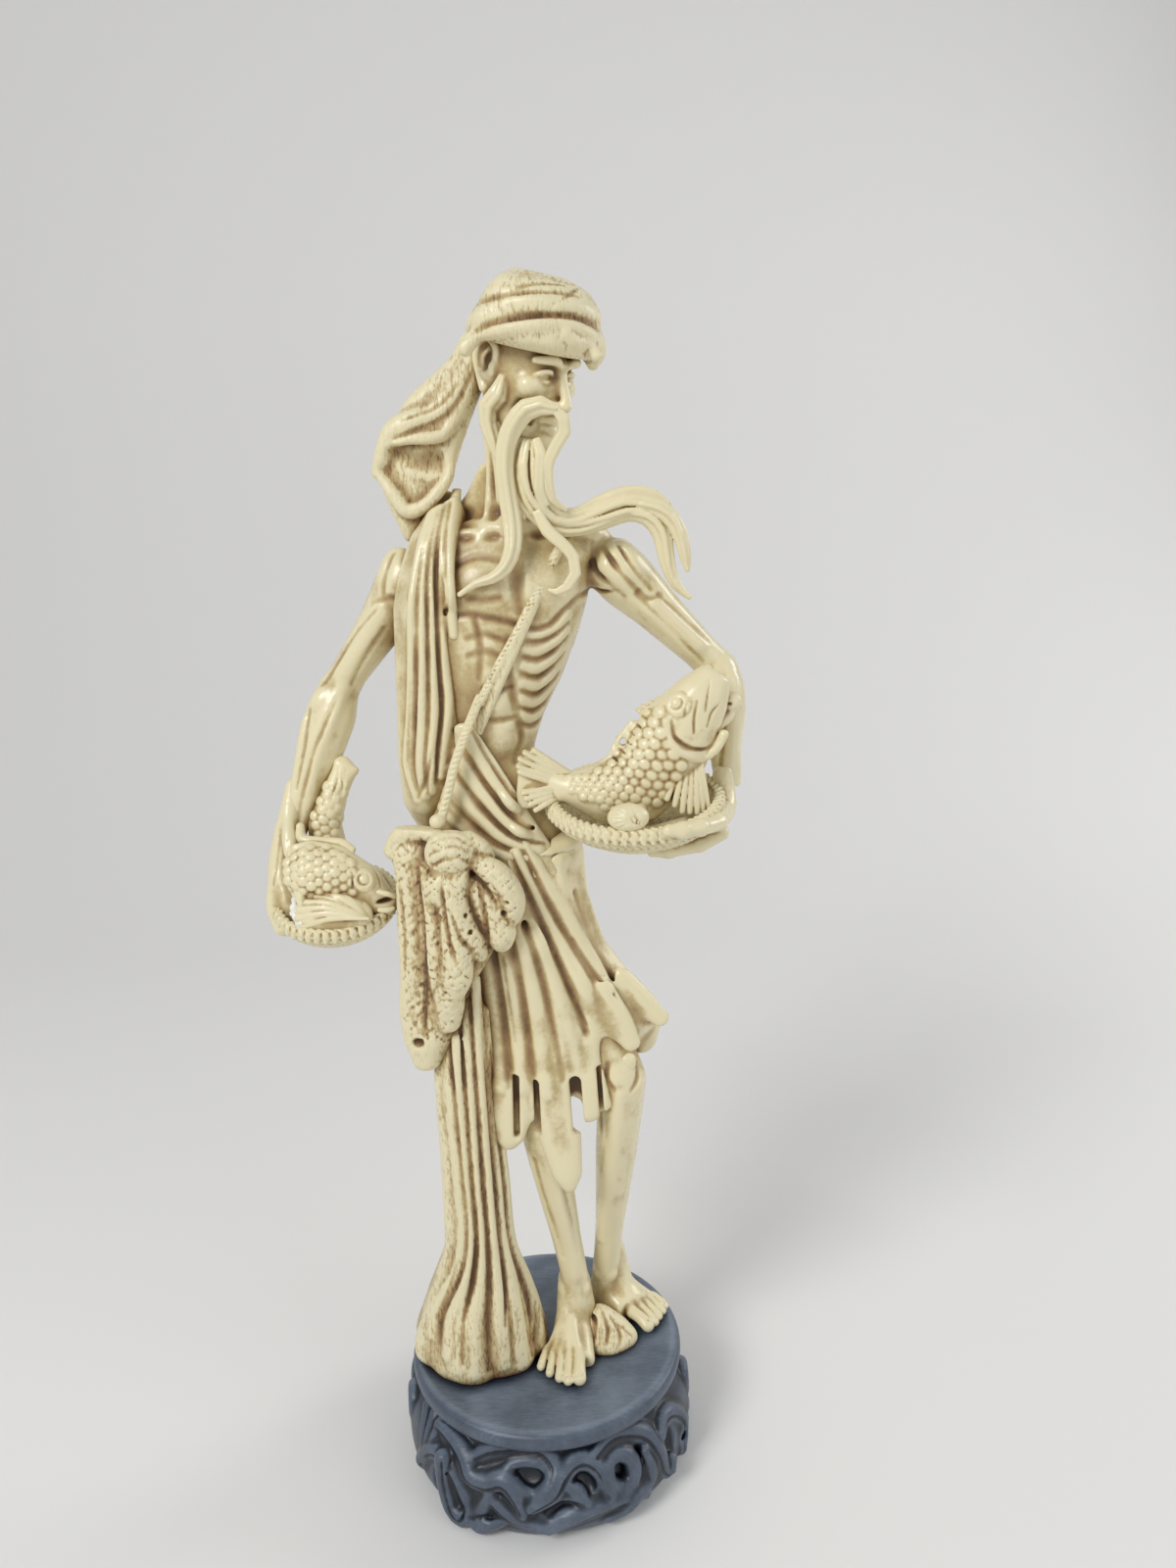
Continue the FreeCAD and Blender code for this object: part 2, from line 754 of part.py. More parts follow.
def make_leg(name):
    """A leg from inside the skirt down to the toes, the big toe on the inner side."""
    thigh, knee, ankle = (joint(f"{name}_{part}") for part in ("thigh", "knee", "ankle"))
    rows = limb_rows(thigh, knee, size("thigh_radius"), UPPER_LEG_SHARES)
    rows += limb_rows(knee, ankle, size("knee_radius"), SHIN_SHARES)
    shin = limb(f"{name}_shin", rows, sides=10)
    ahead = Rotation(Vector(0, 0, 1), size(f"{name}_foot_turn")).multVec(Vector(0, -1, 0))
    outward = ahead.cross(Vector(0, 0, 1)) * (1 if name == "right" else -1)
    length, half_width, height = size("foot_length"), size("foot_half_width"), size("foot_height")
    ground = size("stand_height") - size("sole_sink")
    heel = Vector(ankle.x, ankle.y, ground) - ahead * (length * HEEL_SHARE)
    rows = []
    for along, wide, tall in FOOT_SHARES:
        half = height * tall / 2
        rows.append((heel + ahead * (length * along) + Vector(0, 0, half), half_width * wide, half))
    pieces = [shin, limb(f"{name}_sole", rows, face=Vector(0, 0, 1), sides=8)]
    for number, (aside, tip) in enumerate(TOE_SHARES):
        thick = size("toe_radius") if number else size("big_toe_radius")
        line = heel + outward * (half_width * aside * TOE_SPREAD_SHARE) + Vector(0, 0, thick)
        knuckle = line + ahead * (length * INSTEP_SHARE)
        end = line + ahead * (length * tip)
        rows = []
        for along, girth in TOE_LENGTH_SHARES:
            rows.append((between(knuckle, end, along), thick * girth, thick * girth))
        pieces.append(limb(f"{name}_toe_{number + 1}", rows, face=Vector(0, 0, 1), sides=5))
    return fused(f"{name}_leg_blank", pieces)


# The hands and what they carry


def basket_axes(name):
    """A basket's middle, side, front and up; its mouth is tilted to the front."""
    tilt = Rotation(Vector(1, 0, 0), size(f"{name}_basket_tilt"))
    middle = joint(f"{name}_wrist") + offset(f"{name}_basket")
    return middle, Vector(1, 0, 0), tilt.multVec(Vector(0, -1, 0)), tilt.multVec(Vector(0, 0, 1))


def basket_point(name, across, ahead, up):
    """A place about a basket: shares of its radius sideways and ahead, and of its depth up from the rim."""
    middle, side, front, rise = basket_axes(name)
    radius, depth = size(f"{name}_basket_radius"), size(f"{name}_basket_depth")
    return middle + side * (radius * across) + front * (radius * ahead) + rise * (depth * up)


# How far out of the way to the rim the basket's side is at half its depth
BASKET_BELLY_SHARE = 0.72


def make_basket(name):
    """A shallow bowl with an open mouth: rings up the outside, over the rim and down the inside."""
    middle, side, front, rise = basket_axes(name)
    radius, foot = size(f"{name}_basket_radius"), size(f"{name}_basket_foot_radius")
    depth, wall, rim = size(f"{name}_basket_depth"), size("basket_wall"), size("basket_rim_height")
    waist = foot + (radius - foot) * BASKET_BELLY_SHARE
    places = (
        (foot, -depth),
        (waist, -depth / 2),
        (radius, -rim / 2),
        (radius, rim / 2),
        (radius - wall, rim / 2),
        (waist - wall, wall / 2 - depth / 2),
        (foot - wall / 2, wall - depth),
    )
    rings = [section(middle + rise * up, wide, wide, side, front, sides=20) for wide, up in places]
    return facets(f"{name}_basket_blank", rings)


# Paths about a basket: shares of its radius aside and ahead, of its depth up, then of the hand's own sizes
RIGHT_PALM_SHARES = (
    (-1.1, 0.0, 0.55, 0.75, 0.9),
    (-1.12, 0.1, -0.15, 1.0, 0.9),
    (-0.98, 0.15, -0.9, 1.0, 0.8),
)
RIGHT_FINGER_SHARES = ((-0.98, -0.8), (-0.7, -1.1), (-0.35, -1.22), (0.1, -1.2))
RIGHT_THUMB_SHARES = ((-1.12, 0.2, 0.3), (-1.0, 0.5, 0.4), (-0.8, 0.62, 0.2))
LEFT_PALM_SHARES = ((1.06, 0.1, -0.4, 0.85, 0.95), (0.86, 0.2, -1.02, 1.0, 0.85))
LEFT_FINGER_SHARES = ((0.93, -0.8), (0.58, -1.17), (0.25, -1.19), (-0.1, -1.17))
LEFT_THUMB_SHARES = ((1.07, 0.15, -0.35), (1.0, 0.5, 0.1), (0.78, 0.78, 0.3), (0.5, 0.93, 0.3))
# How far up the forearm the hand is let in
WRIST_SEAT_SHARE = 0.09
# Where each finger lies ahead of the palm's middle, in finger widths, and how long it is
FINGER_PLACES_SHARES = ((-1.6, 0.86), (-0.55, 1.0), (0.5, 0.96), (1.5, 0.78))


def make_hand(name, palm_shares, finger_shares, thumb_shares):
    """A palm beside the basket, four fingers curled under it and a thumb over the rim."""
    across, thick = size("hand_half_width"), size("hand_thickness") / 2
    away = Vector(-1 if name == "right" else 1, 0, 0)
    seat = between(joint(f"{name}_wrist"), joint(f"{name}_elbow"), WRIST_SEAT_SHARE)
    rows = [(seat, across * 0.4, thick)]
    for side, ahead, up, wide, deep in palm_shares:
        rows.append((basket_point(name, side, ahead, up), across * wide, thick * deep))
    pieces = [limb(f"{name}_palm", rows, face=away, sides=8)]
    finger = size("finger_radius")
    palm_ahead = palm_shares[-1][1]
    for number, (place, reach) in enumerate(FINGER_PLACES_SHARES):
        rows = []
        root = basket_point(name, finger_shares[0][0], palm_ahead, finger_shares[0][1])
        for side, up in finger_shares:
            joint_place = basket_point(name, side, palm_ahead, up)
            spot = between(root, joint_place, reach) + basket_axes(name)[2] * (finger * 2 * place)
            taper = 0.7 if side == finger_shares[-1][0] else 1.0
            rows.append((spot, finger * taper, finger * taper))
        pieces.append(limb(f"{name}_finger_{number + 1}", rows, sides=5))
    rows = [(basket_point(name, *place), finger * 1.1, finger * 1.1) for place in thumb_shares]
    pieces.append(limb(f"{name}_thumb", rows, face=Vector(0, 0, 1), sides=6))
    return fused(f"{name}_hand_blank", pieces)


# Sections of a fish from the tail on: shares of its length aside and up, of its half height and half width
LEFT_CARP_SHARES = (
    (-0.47, 0.1, 0.66, 0.14),
    (-0.38, 0.09, 0.5, 0.2),
    (-0.28, 0.085, 0.34, 0.45),
    (-0.15, 0.06, 0.68, 0.85),
    (0.0, 0.08, 0.92, 1.0),
    (0.115, 0.2, 1.0, 1.0),
    (0.2, 0.34, 0.88, 0.95),
    (0.275, 0.45, 0.64, 0.8),
    (0.325, 0.53, 0.36, 0.5),
)
RIGHT_CARP_SHARES = (
    (-0.34, 0.3, 0.5, 0.6),
    (-0.2, 0.32, 0.9, 0.95),
    (0.02, 0.26, 1.0, 1.0),
    (0.26, 0.13, 0.82, 0.85),
    (0.42, 0.02, 0.45, 0.5),
    (0.49, -0.03, 0.3, 0.3),
)
# The fins along a fish's back: shares of its length sideways and up, then of its half height
LEFT_FIN_SHARES = ((-0.12, 0.16, 0.2), (-0.04, 0.26, 0.3), (0.03, 0.34, 0.34), (0.1, 0.4, 0.2))
RIGHT_FIN_SHARES = ((-0.3, 0.5, 0.3), (-0.14, 0.54, 0.26), (0.06, 0.5, 0.22), (0.22, 0.38, 0.12))


def make_carp(name, ahead, body_shares, fin_shares):
    length = size(f"{name}_carp_length")
    half_height, half_width = size(f"{name}_carp_half_height"), size(f"{name}_carp_half_width")
    middle = basket_point(name, 0, ahead, 0)
    rows = []
    for side, up, tall, wide in body_shares:
        rows.append((middle + Vector(length * side, 0, length * up), half_height * tall, half_width * wide))
    body = limb(f"{name}_carp_body", rows, sides=12)
    thin = size("carp_fin_thickness") / 2
    rows = []
    for side, up, tall in fin_shares:
        rows.append((middle + Vector(length * side, 0, length * up), half_height * tall, thin))
    return fused(f"{name}_carp_blank", [body, limb(f"{name}_carp_fin", rows, sides=6)])


# The second fish's tail: shares of its length to the side, away and up, then of its radius across and deep
TAIL_SHARES = (
    (-0.06, 0.2, 0.3, 1.0, 1.0),
    (-0.12, 0.24, 0.72, 0.95, 0.9),
    (0.02, 0.26, 1.05, 0.7, 0.6),
    (0.1, 0.27, 1.2, 0.66, 0.4),
    (0.15, 0.27, 1.3, 0.9, 0.2),
)
# Sections of a shell from its rim up: shares of its height and of its half width
SHELL_SHARES = ((-0.2, 0.9), (0.1, 1.0), (0.5, 0.86), (0.85, 0.5), (1.0, 0.2))
SHELL_DEPTH_SHARE = 0.72
# Where each shell lies in its basket: shares of the radius across and ahead, and of the depth up
COCKLE_PLACE_SHARES = (0.05, 0.66, 0.0)
SMALL_SHELL_PLACE_SHARES = (-0.05, 0.72, 0.0)


def make_carp_tail():
    length, radius = size("carp_tail_length"), size("carp_tail_radius")
    middle = basket_point("right", 0, 0, 0)
    rows = []
    for side, away, up, across, deep in TAIL_SHARES:
        rows.append((middle + Vector(side, away, up) * length, radius * across, radius * deep))
    return limb("carp_tail_blank", rows, sides=8)


def make_shell(name, basket, place):
    """A domed half shell that lies in a basket."""
    _, side, front, rise = basket_axes(basket)
    half_width, height = size(f"{name}_half_width"), size(f"{name}_height")
    base = basket_point(basket, *place)
    rings = []
    for up, wide in SHELL_SHARES:
        centre = base + rise * (height * up)
        across = half_width * wide
        rings.append(section(centre, across, across * SHELL_DEPTH_SHARE, side, front, sides=14))
    return facets(f"{name}_blank", rings)


# The dress


# How far across the hip the wrap's edge comes down from the waist, in hip half widths
WRAP_SLOPE_SHARE = 1.15
# Each section of a lobe of the hem: shares of its length, its width and its thickness
LOBE_SHARES = ((0.0, 1.0, 1.0), (0.5, 1.0, 1.0), (0.85, 0.7, 1.0), (1.0, 0.25, 0.5))
# Each section of the sash: shares of its radius up and out
SASH_SHARES = ((-1.0, 0.1), (-0.5, 1.0), (0.5, 1.0), (1.0, 0.1))
# Each section of the robe: between which landmarks, how far along, how far out, its width and depth
ROBE_SHARES = (
    ("hips", "waist", 0.3, -1.75, 0.3, 0.25),
    ("hips", "waist", 0.55, -1.54, 0.7, 0.62),
    ("hips", "waist", 0.95, -1.06, 1.03, 0.86),
    ("waist", "chest", 0.28, -1.12, 1.04, 0.9),
    ("waist", "chest", 0.6, -1.38, 0.92, 1.0),
    ("chest", "collar", 0.0, -1.7, 0.78, 0.96),
    ("chest", "collar", 0.45, -1.66, 0.74, 0.8),
    ("chest", "collar", 0.95, -1.5, 0.64, 0.58),
    ("chest", "collar", 1.3, -1.3, 0.35, 0.3),
)
# Each section of the skirt from the waist down: shares of its length, of its flare, its width and its depth
SKIRT_SHARES = (
    (0.0, 0.0, 0.9, 0.98),
    (0.2, 0.0, 0.94, 0.98),
    (0.4, 0.25, 1.02, 0.98),
    (0.53, 0.6, 1.16, 0.95),
    (0.67, 1.1, 1.32, 0.9),
    (0.75, 1.25, 1.34, 0.88),
    (0.86, 0.95, 1.16, 0.86),
    (1.0, 0.6, 0.96, 0.84),
)
# Each torn lobe of the hem: shares of the skirt's half width and half depth, then, in lobe lengths,
# how far up it starts and how far its tip swings and drops
HEM_LOBE_SHARES = (
    (1.3, 0.1, 1.1, 0.1, 0.7),
    (1.0, 0.66, 0.6, 0.0, 0.9),
    (0.55, 0.74, 0.4, 0.1, 0.8),
    (0.1, 0.8, 0.4, 0.25, 1.9),
    (-0.4, 0.76, 0.3, -0.1, 1.1),
)


def make_robe():
    rows = []
    for low, high, along, out, wide, deep in ROBE_SHARES:
        half_width = size("robe_half_width")
        centre = between(joint(low), joint(high), along) + Vector(half_width * out, 0, 0)
        rows.append((centre, half_width * wide, size("robe_half_depth") * deep))
    return level_form("robe_blank", rows, sides=21, pleats=7, pleat_share=0.06)


def make_wrap():
    """Folded cloth round the belly, with its upper edge slanting down to the left hip."""
    around_belly = level_form("wrap_round", torso_rows(size("wrap_thickness"))[:5], sides=20)
    high, low = joint("waist") + Vector(0, 0, size("waist_half_depth") * 0.7), joint("hips")
    above = document.addObject("Part::Box", "above_the_wrap")
    for side in ("Length", "Width"):
        above.setExpression(side, "sizes.hip_half_width * 6")
    above.setExpression("Height", "sizes.hip_half_width * 4")
    slope = math.degrees(math.atan2(high.z - low.z, size("hip_half_width") * WRAP_SLOPE_SHARE))
    turn = Rotation(Vector(0, 1, 0), slope)
    corner = turn.multVec(Vector(1, 1, 0) * size("hip_half_width") * 3)
    above.Placement = Placement(high - corner, turn)
    cut = document.addObject("Part::Cut", "wrap_blank")
    cut.Base, cut.Tool = around_belly, above
    return cut


def make_skirt():
    """A pleated skirt with a torn hem, whose lobes hang at their own lengths."""
    across, deep = size("hip_half_width"), size("hip_half_depth")
    top = joint("hips") + Vector(across * 0.1, -deep * 0.1, deep * 0.3)
    length, flare = size("skirt_length"), size("skirt_flare")
    half_width, half_depth = size("skirt_half_width"), size("skirt_half_depth")
    rows = []
    for down, out, wide, deep in SKIRT_SHARES:
        centre = top + Vector(flare * out, 0, -length * down)
        rows.append((centre, half_width * wide, half_depth * deep))
    pieces = [level_form("skirt_round", rows, sides=24, pleats=8, pleat_share=0.045)]
    hem = rows[-1][0]
    lobe_width, thick = size("hem_lobe_half_width"), size("hem_lobe_thickness") / 2
    drop = size("hem_lobe_length")
    for number, (side, ahead, start, swing, down) in enumerate(HEM_LOBE_SHARES):
        root = hem + Vector(half_width * side, -half_depth * ahead, drop * start)
        tip = root + Vector(drop * swing, 0, -drop * down)
        rows = []
        for along, wide, deep in LOBE_SHARES:
            rows.append((between(root, tip, along), lobe_width * wide, thick * deep))
        pieces.append(limb(f"hem_lobe_{number + 1}", rows, sides=8))
    return fused("skirt_blank", pieces)


def make_sash():
    """A rolled sash round the hips, higher over the left hip."""
    slant, radius = size("sash_slant"), size("sash_radius")
    lift = Rotation(Vector(0, 1, 0), -slant)
    side, rise = lift.multVec(Vector(1, 0, 0)), lift.multVec(Vector(0, 0, 1))
    rings = []
    for up, out in SASH_SHARES:
        centre = joint("hips") + rise * (radius * up)
        across = (size("hip_half_width") + radius * out) / math.cos(math.radians(slant))
        deep = size("hip_half_depth") + radius * out
        rings.append(section(centre, across, deep, side, Vector(0, -1, 0), sides=20))
    return facets("sash_blank", rings)


def make_cord():
    """A flat cord over the left shoulder, laid on the chest down to the right hip."""
    inward, above = size("chest_half_width") * 0.54, size("shoulder_radius") * 0.2
    high = joint("left_shoulder") + Vector(-inward, 0, above)
    low = joint("waist") + Vector(-size("waist_half_width") * 0.8, 0, -size("waist_half_depth") * 1.4)
    thick = size("cord_thickness") / 2
    rows = []
    for step in range(CORD_STEPS + 1):
        place = between(high, low, step / CORD_STEPS)
        spot = torso_front(place.x, place.z) + Vector(0, -thick * 0.5, 0)
        rows.append((spot, size("cord_half_width"), thick))
    return limb("cord_blank", rows, sides=6)


# The net


# Each section of the bundle from the top down: shares of its width aside, its length up, its width and depth
BUNDLE_SHARES = (
    (-0.06, 0.15, 0.35, 0.45),
    (-0.12, 0.05, 0.85, 0.9),
    (0.0, -0.11, 1.0, 1.0),
    (-0.12, -0.3, 0.9, 0.95),
    (-0.3, -0.45, 0.66, 0.75),
    (-0.55, -0.7, 0.44, 0.62),
    (-0.62, -0.82, 0.22, 0.36),
)
# Each loop's path: shares of the bundle's half width aside, its half depth away and its length up
BUNDLE_LOOPS_SHARES = (
    ((0.4, -0.3, 0.02), (0.85, -0.4, -0.12), (1.0, -0.4, -0.22), (1.0, -0.3, -0.28)),
    ((0.1, -0.6, -0.04), (0.2, -0.8, -0.22), (0.14, -0.8, -0.38), (0.1, -0.7, -0.46)),
)
# A loop's girth at each place of its path
LOOP_GIRTH_SHARES = (0.9, 1.0, 0.95, 0.5)
# Sections of the knot from below: shares of its radius up and out
KNOT_SHARES = ((-0.9, 0.4), (-0.5, 0.88), (0.0, 1.0), (0.5, 0.88), (0.9, 0.4))
# Each section of the net's fall: shares of the way up from the floor, then its width and its depth
NET_FOOT_SHARES = (
    (-0.02, 1.0, 1.0),
    (0.16, 1.02, 1.0),
    (0.5, 0.84, 0.78),
    (0.8, 0.66, 0.56),
    (1.05, 0.52, 0.42),
)
NET_FALL_SHARES = ((0.35, 1.05, 1.1), (0.6, 1.02, 1.0), (0.85, 0.9, 0.9), (1.0, 0.75, 0.75))
# Each section of the heap: shares of its height and of its half width
SPILL_SHARES = ((-0.04, 0.94), (0.25, 1.0), (0.6, 0.75), (1.0, 0.3))
SPILL_DEPTH_SHARE = 0.68


def make_net_bundle():
    knot = joint("net_knot")
    half_width, half_depth = size("net_bundle_half_width"), size("net_bundle_half_depth")
    length = size("net_bundle_length")
    rows = []
    for side, up, wide, deep in reversed(BUNDLE_SHARES):
        centre = knot + Vector(half_width * side, half_depth * 0.25, length * up)
        rows.append((centre, half_width * wide, half_depth * deep))
    pieces = [level_form("bundle_body", rows, sides=18, pleats=5, pleat_share=0.08)]
    ball = size("net_knot_radius")
    rows = []
    for up, wide in KNOT_SHARES:
        rows.append((knot + Vector(0, -half_depth * 0.5, ball * up), ball * wide, ball * wide))
    pieces.append(level_form("bundle_knot", rows, sides=10))
    thick = size("net_loop_radius")
    for number, loop in enumerate(BUNDLE_LOOPS_SHARES):
        rows = []
        for (side, away, up), girth in zip(loop, LOOP_GIRTH_SHARES):
            centre = knot + Vector(half_width * side, half_depth * away, length * up)
            rows.append((centre, thick * girth, thick * girth))
        pieces.append(limb(f"bundle_loop_{number + 1}", rows, sides=8))
    return fused("net_bundle_blank", pieces)


def make_net_fall():
    """The gathered net hangs in folds from the bundle and spreads on the plate."""
    foot = joint("net_foot")
    foot_width, foot_depth = size("net_foot_half_width"), size("net_foot_half_depth")
    gather = foot + Vector(size("net_fall_half_width") * 0.3, -foot_depth * 0.45, size("net_foot_rise"))
    away, down = size("net_bundle_half_depth") * 0.6, size("net_bundle_length") * 0.35
    top = joint("net_knot") + Vector(0, away, -down)
    rows = []
    for up, wide, deep in NET_FOOT_SHARES:
        centre = between(foot, gather, up)
        rows.append((centre, foot_width * wide, foot_depth * deep))
    for up, wide, deep in NET_FALL_SHARES:
        centre = between(gather, top, up)
        rows.append((centre, size("net_fall_half_width") * wide, size("net_fall_half_depth") * deep))
    return level_form("net_fall_blank", rows, sides=21, pleats=7, pleat_share=0.08)


def make_net_spill():
    """The end of the net, heaped between the feet."""
    foot = joint("net_spill")
    half_width, height = size("net_spill_half_width"), size("net_spill_rise")
    rows = []
    for up, wide in SPILL_SHARES:
        centre = foot + Vector(-half_width * 0.25 * up, half_width * 0.4 * up, height * up)
        rows.append((centre, half_width * wide, half_width * wide * SPILL_DEPTH_SHARE))
    return level_form("net_spill_blank", rows, sides=14, pleats=4, pleat_share=0.06)


# The hidden dowels


def make_dowel(label, middle, along, thickness):
    """An eight-sided peg across a seam, centred on it."""
    dowel = document.addObject("Part::Prism", label)
    dowel.Polygon = PEG_SIDES
    dowel.setExpression("Circumradius", f"sizes.{thickness}_dowel_radius")
    dowel.setExpression("Height", f"sizes.{thickness}_dowel_length")
    direction = Vector(along).normalize()
    start = middle - direction * (size(f"{thickness}_dowel_length") / 2)
    dowel.Placement = Placement(start, Rotation(Vector(0, 0, 1), direction))
    return dowel


def grouped(label, pieces):
    group = document.addObject("Part::Compound", label)
    group.Links = pieces
    return group


# Where each shoulder's seam lies on the way to the collar, and how much of the arm's slope its peg takes
SHOULDER_SEAM_SHARES = {"right": 0.0, "left": 0.16}
SHOULDER_SLOPE_SHARE = 0.22


def make_dowels():
    """The pegs that hold the separately carved sections together, out of sight."""
    up = Vector(0, 0, 1)
    arms, wrists, hips = [], [], []
    for name in ("right", "left"):
        shoulder, elbow, wrist = (joint(f"{name}_{part}") for part in ("shoulder", "elbow", "wrist"))
        inner = Vector(joint("collar").x, shoulder.y, shoulder.z)
        seam = between(shoulder, inner, SHOULDER_SEAM_SHARES[name])
        along = Vector(elbow.x - shoulder.x, 0, (elbow.z - shoulder.z) * SHOULDER_SLOPE_SHARE)
        arms.append(make_dowel(f"{name}_shoulder_dowel", seam, along, "thick"))
        seam = between(elbow, wrist, FOREARM_SHARES[-1][0])
        wrists.append(make_dowel(f"{name}_wrist_dowel", seam, wrist - elbow, "thin"))
        hips.append(make_dowel(f"{name}_hip_dowel", joint(f"{name}_thigh"), up, "thick"))
    low_back = torso_rows()[0][0]
    return {
        "neck_dowel": make_dowel("neck_dowel", joint("collar"), up, "thick"),
        "waist_dowel": make_dowel("waist_dowel", low_back, up, "thick"),
        "shoulder_dowels": grouped("shoulder_dowels", arms),
        "wrist_dowels": grouped("wrist_dowels", wrists),
        "hip_dowels": grouped("hip_dowels", hips),
    }


# Putting it together: each piece is seated on the ones before it


pieces = make_dowels()
pieces["stand_plate"] = make_plate()
pieces["stand_drum"] = make_drum()
pieces["stand_scrollwork"] = make_scrollwork(pieces["stand_drum"])


def seat(label, blank, neighbours=""):
    """Add a piece, cut to sit against the named neighbours."""
    pieces[label] = carved_to_fit(label, blank, [pieces[name] for name in neighbours.split()])


seat("torso", level_form("torso_blank", torso_rows(), sides=20), "neck_dowel waist_dowel shoulder_dowels")
seat("head", make_head(), "torso neck_dowel")
seat("hat", make_hat(), "head")
seat("right_arm", make_arm("right"), "torso shoulder_dowels wrist_dowels")
seat("left_arm", make_arm("left"), "torso shoulder_dowels wrist_dowels")
plume, curl = make_beard()
seat("beard_plume", plume, "head torso left_arm")
seat("beard_curl", curl, "head torso beard_plume")
long_moustache, short_moustache = make_moustaches()
seat("right_moustache", long_moustache, "head torso beard_plume beard_curl")
seat("left_moustache", short_moustache, "head torso beard_plume right_moustache")
seat("shoulder_robe", make_robe(), "torso right_arm shoulder_dowels")
seat("hat_tail", make_hat_tail(), "head hat torso right_arm shoulder_robe")
seat("waist_wrap", make_wrap(), "torso shoulder_robe waist_dowel")
seat("right_basket", make_basket("right"))
seat("left_basket", make_basket("left"), "torso waist_wrap")
right_shares = RIGHT_PALM_SHARES, RIGHT_FINGER_SHARES, RIGHT_THUMB_SHARES
left_shares = LEFT_PALM_SHARES, LEFT_FINGER_SHARES, LEFT_THUMB_SHARES
seat("right_hand", make_hand("right", *right_shares), "right_arm right_basket wrist_dowels")
seat("left_hand", make_hand("left", *left_shares), "left_arm left_basket wrist_dowels")
right_carp = make_carp("right", 0.3, RIGHT_CARP_SHARES, RIGHT_FIN_SHARES)
left_carp = make_carp("left", 0.1, LEFT_CARP_SHARES, LEFT_FIN_SHARES)
seat("right_carp", right_carp, "right_basket right_hand")
seat("right_carp_tail", make_carp_tail(), "right_basket right_carp right_arm right_hand")
cockle = make_shell("cockle", "right", COCKLE_PLACE_SHARES)
seat("cockle_shell", cockle, "right_basket right_carp right_hand")
seat("left_carp", left_carp, "left_basket left_hand left_arm torso waist_wrap")
seat("small_shell", make_shell("small_shell", "left", SMALL_SHELL_PLACE_SHARES), "left_basket left_carp")
seat("right_leg", make_leg("right"), "stand_plate hip_dowels")
seat("left_leg", make_leg("left"), "stand_plate hip_dowels right_leg")
seat("skirt", make_skirt(), "torso waist_wrap shoulder_robe right_leg left_leg hip_dowels waist_dowel")
seat("sash", make_sash(), "torso skirt waist_wrap shoulder_robe left_basket waist_dowel")
seat("shoulder_cord", make_cord(), "torso shoulder_robe waist_wrap")
dress = "skirt waist_wrap sash shoulder_robe shoulder_cord torso"
seat("net_bundle", make_net_bundle(), f"{dress} right_basket right_hand right_carp")
seat("net_fall", make_net_fall(), "right_leg left_leg skirt net_bundle stand_plate")
seat("net_spill", make_net_spill(), "right_leg left_leg net_fall stand_plate")

document.recompute()


def check_everything():
    for item in document.Objects:
        if "Invalid" in item.State or "Error" in item.State:
            raise RuntimeError(f"{item.Label} could not be made")
    for name, piece in pieces.items():
        if piece.Shape.isNull() or not piece.Shape.isValid():
            raise RuntimeError(f"{name} has no sound solid")
        print(name, "solids", len(piece.Shape.Solids), "volume", round(piece.Shape.Volume))


check_everything()
os.makedirs("parts", exist_ok=True)
for name, piece in pieces.items():
    piece.Shape.exportStep(f"parts/{name}.step")
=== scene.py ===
import math

import bpy
import numpy as np
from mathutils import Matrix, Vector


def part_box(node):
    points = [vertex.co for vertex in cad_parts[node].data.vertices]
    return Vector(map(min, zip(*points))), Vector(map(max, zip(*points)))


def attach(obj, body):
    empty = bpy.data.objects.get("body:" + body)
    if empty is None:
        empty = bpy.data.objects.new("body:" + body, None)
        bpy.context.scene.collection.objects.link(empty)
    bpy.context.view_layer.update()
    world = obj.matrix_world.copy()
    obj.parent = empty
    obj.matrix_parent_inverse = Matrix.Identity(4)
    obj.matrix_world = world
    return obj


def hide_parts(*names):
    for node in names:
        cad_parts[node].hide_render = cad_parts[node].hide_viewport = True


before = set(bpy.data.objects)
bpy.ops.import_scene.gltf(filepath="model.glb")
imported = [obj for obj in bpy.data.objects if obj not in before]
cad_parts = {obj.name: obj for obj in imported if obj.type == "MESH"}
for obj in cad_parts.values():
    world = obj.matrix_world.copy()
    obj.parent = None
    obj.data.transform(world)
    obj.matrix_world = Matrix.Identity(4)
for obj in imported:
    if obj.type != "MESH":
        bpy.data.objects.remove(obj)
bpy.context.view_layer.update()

import openvdb
from mathutils import Matrix, Vector

# An okimono of an old fisherman in imitation ivory, on a dark scroll-carved stand.
# Places and sizes are in millimetres, in the part's own frame; pieces are made in metres.
# A reading is (across, height) on the upright plane through the stand's axis, as the camera sees it.

MM = 0.001
STAND_TOP = 40.0

# The camera, which also turns readings into places
EYE = np.array((20.9, -365.1, 334.1))
CAMERA_PITCH = math.radians(13.0)
CAMERA_LENS = 25.99
CAMERA_SENSOR = 36.0
CAMERA_LEAN = 0.0279

# Steps of the clay's grid, and how far from the surface its distances run
BODY_CELL = 0.6
FINE_CELL = 0.42
FAR = 6.0
CLAY_ROOM = 6.0
TINY = 1e-6

# A stroke is drawn in steps of this share of its least radius, and of no less than this many cells
STROKE_STEP_SHARE = 0.7
STROKE_STEP_CELLS = 2
# Where a line of sight is searched for the surface: shares of the way to the plane, and how finely
SIGHT_START_SHARE = 0.78
SIGHT_RUN_SHARE = 0.36
SIGHT_STEPS = 500
SIDE_VIEW_REACH = 100
# Views other than the front: the axis that is looked along, and which way
SIDE_VIEWS = {"back": (1, -1), "left": (0, -1)}
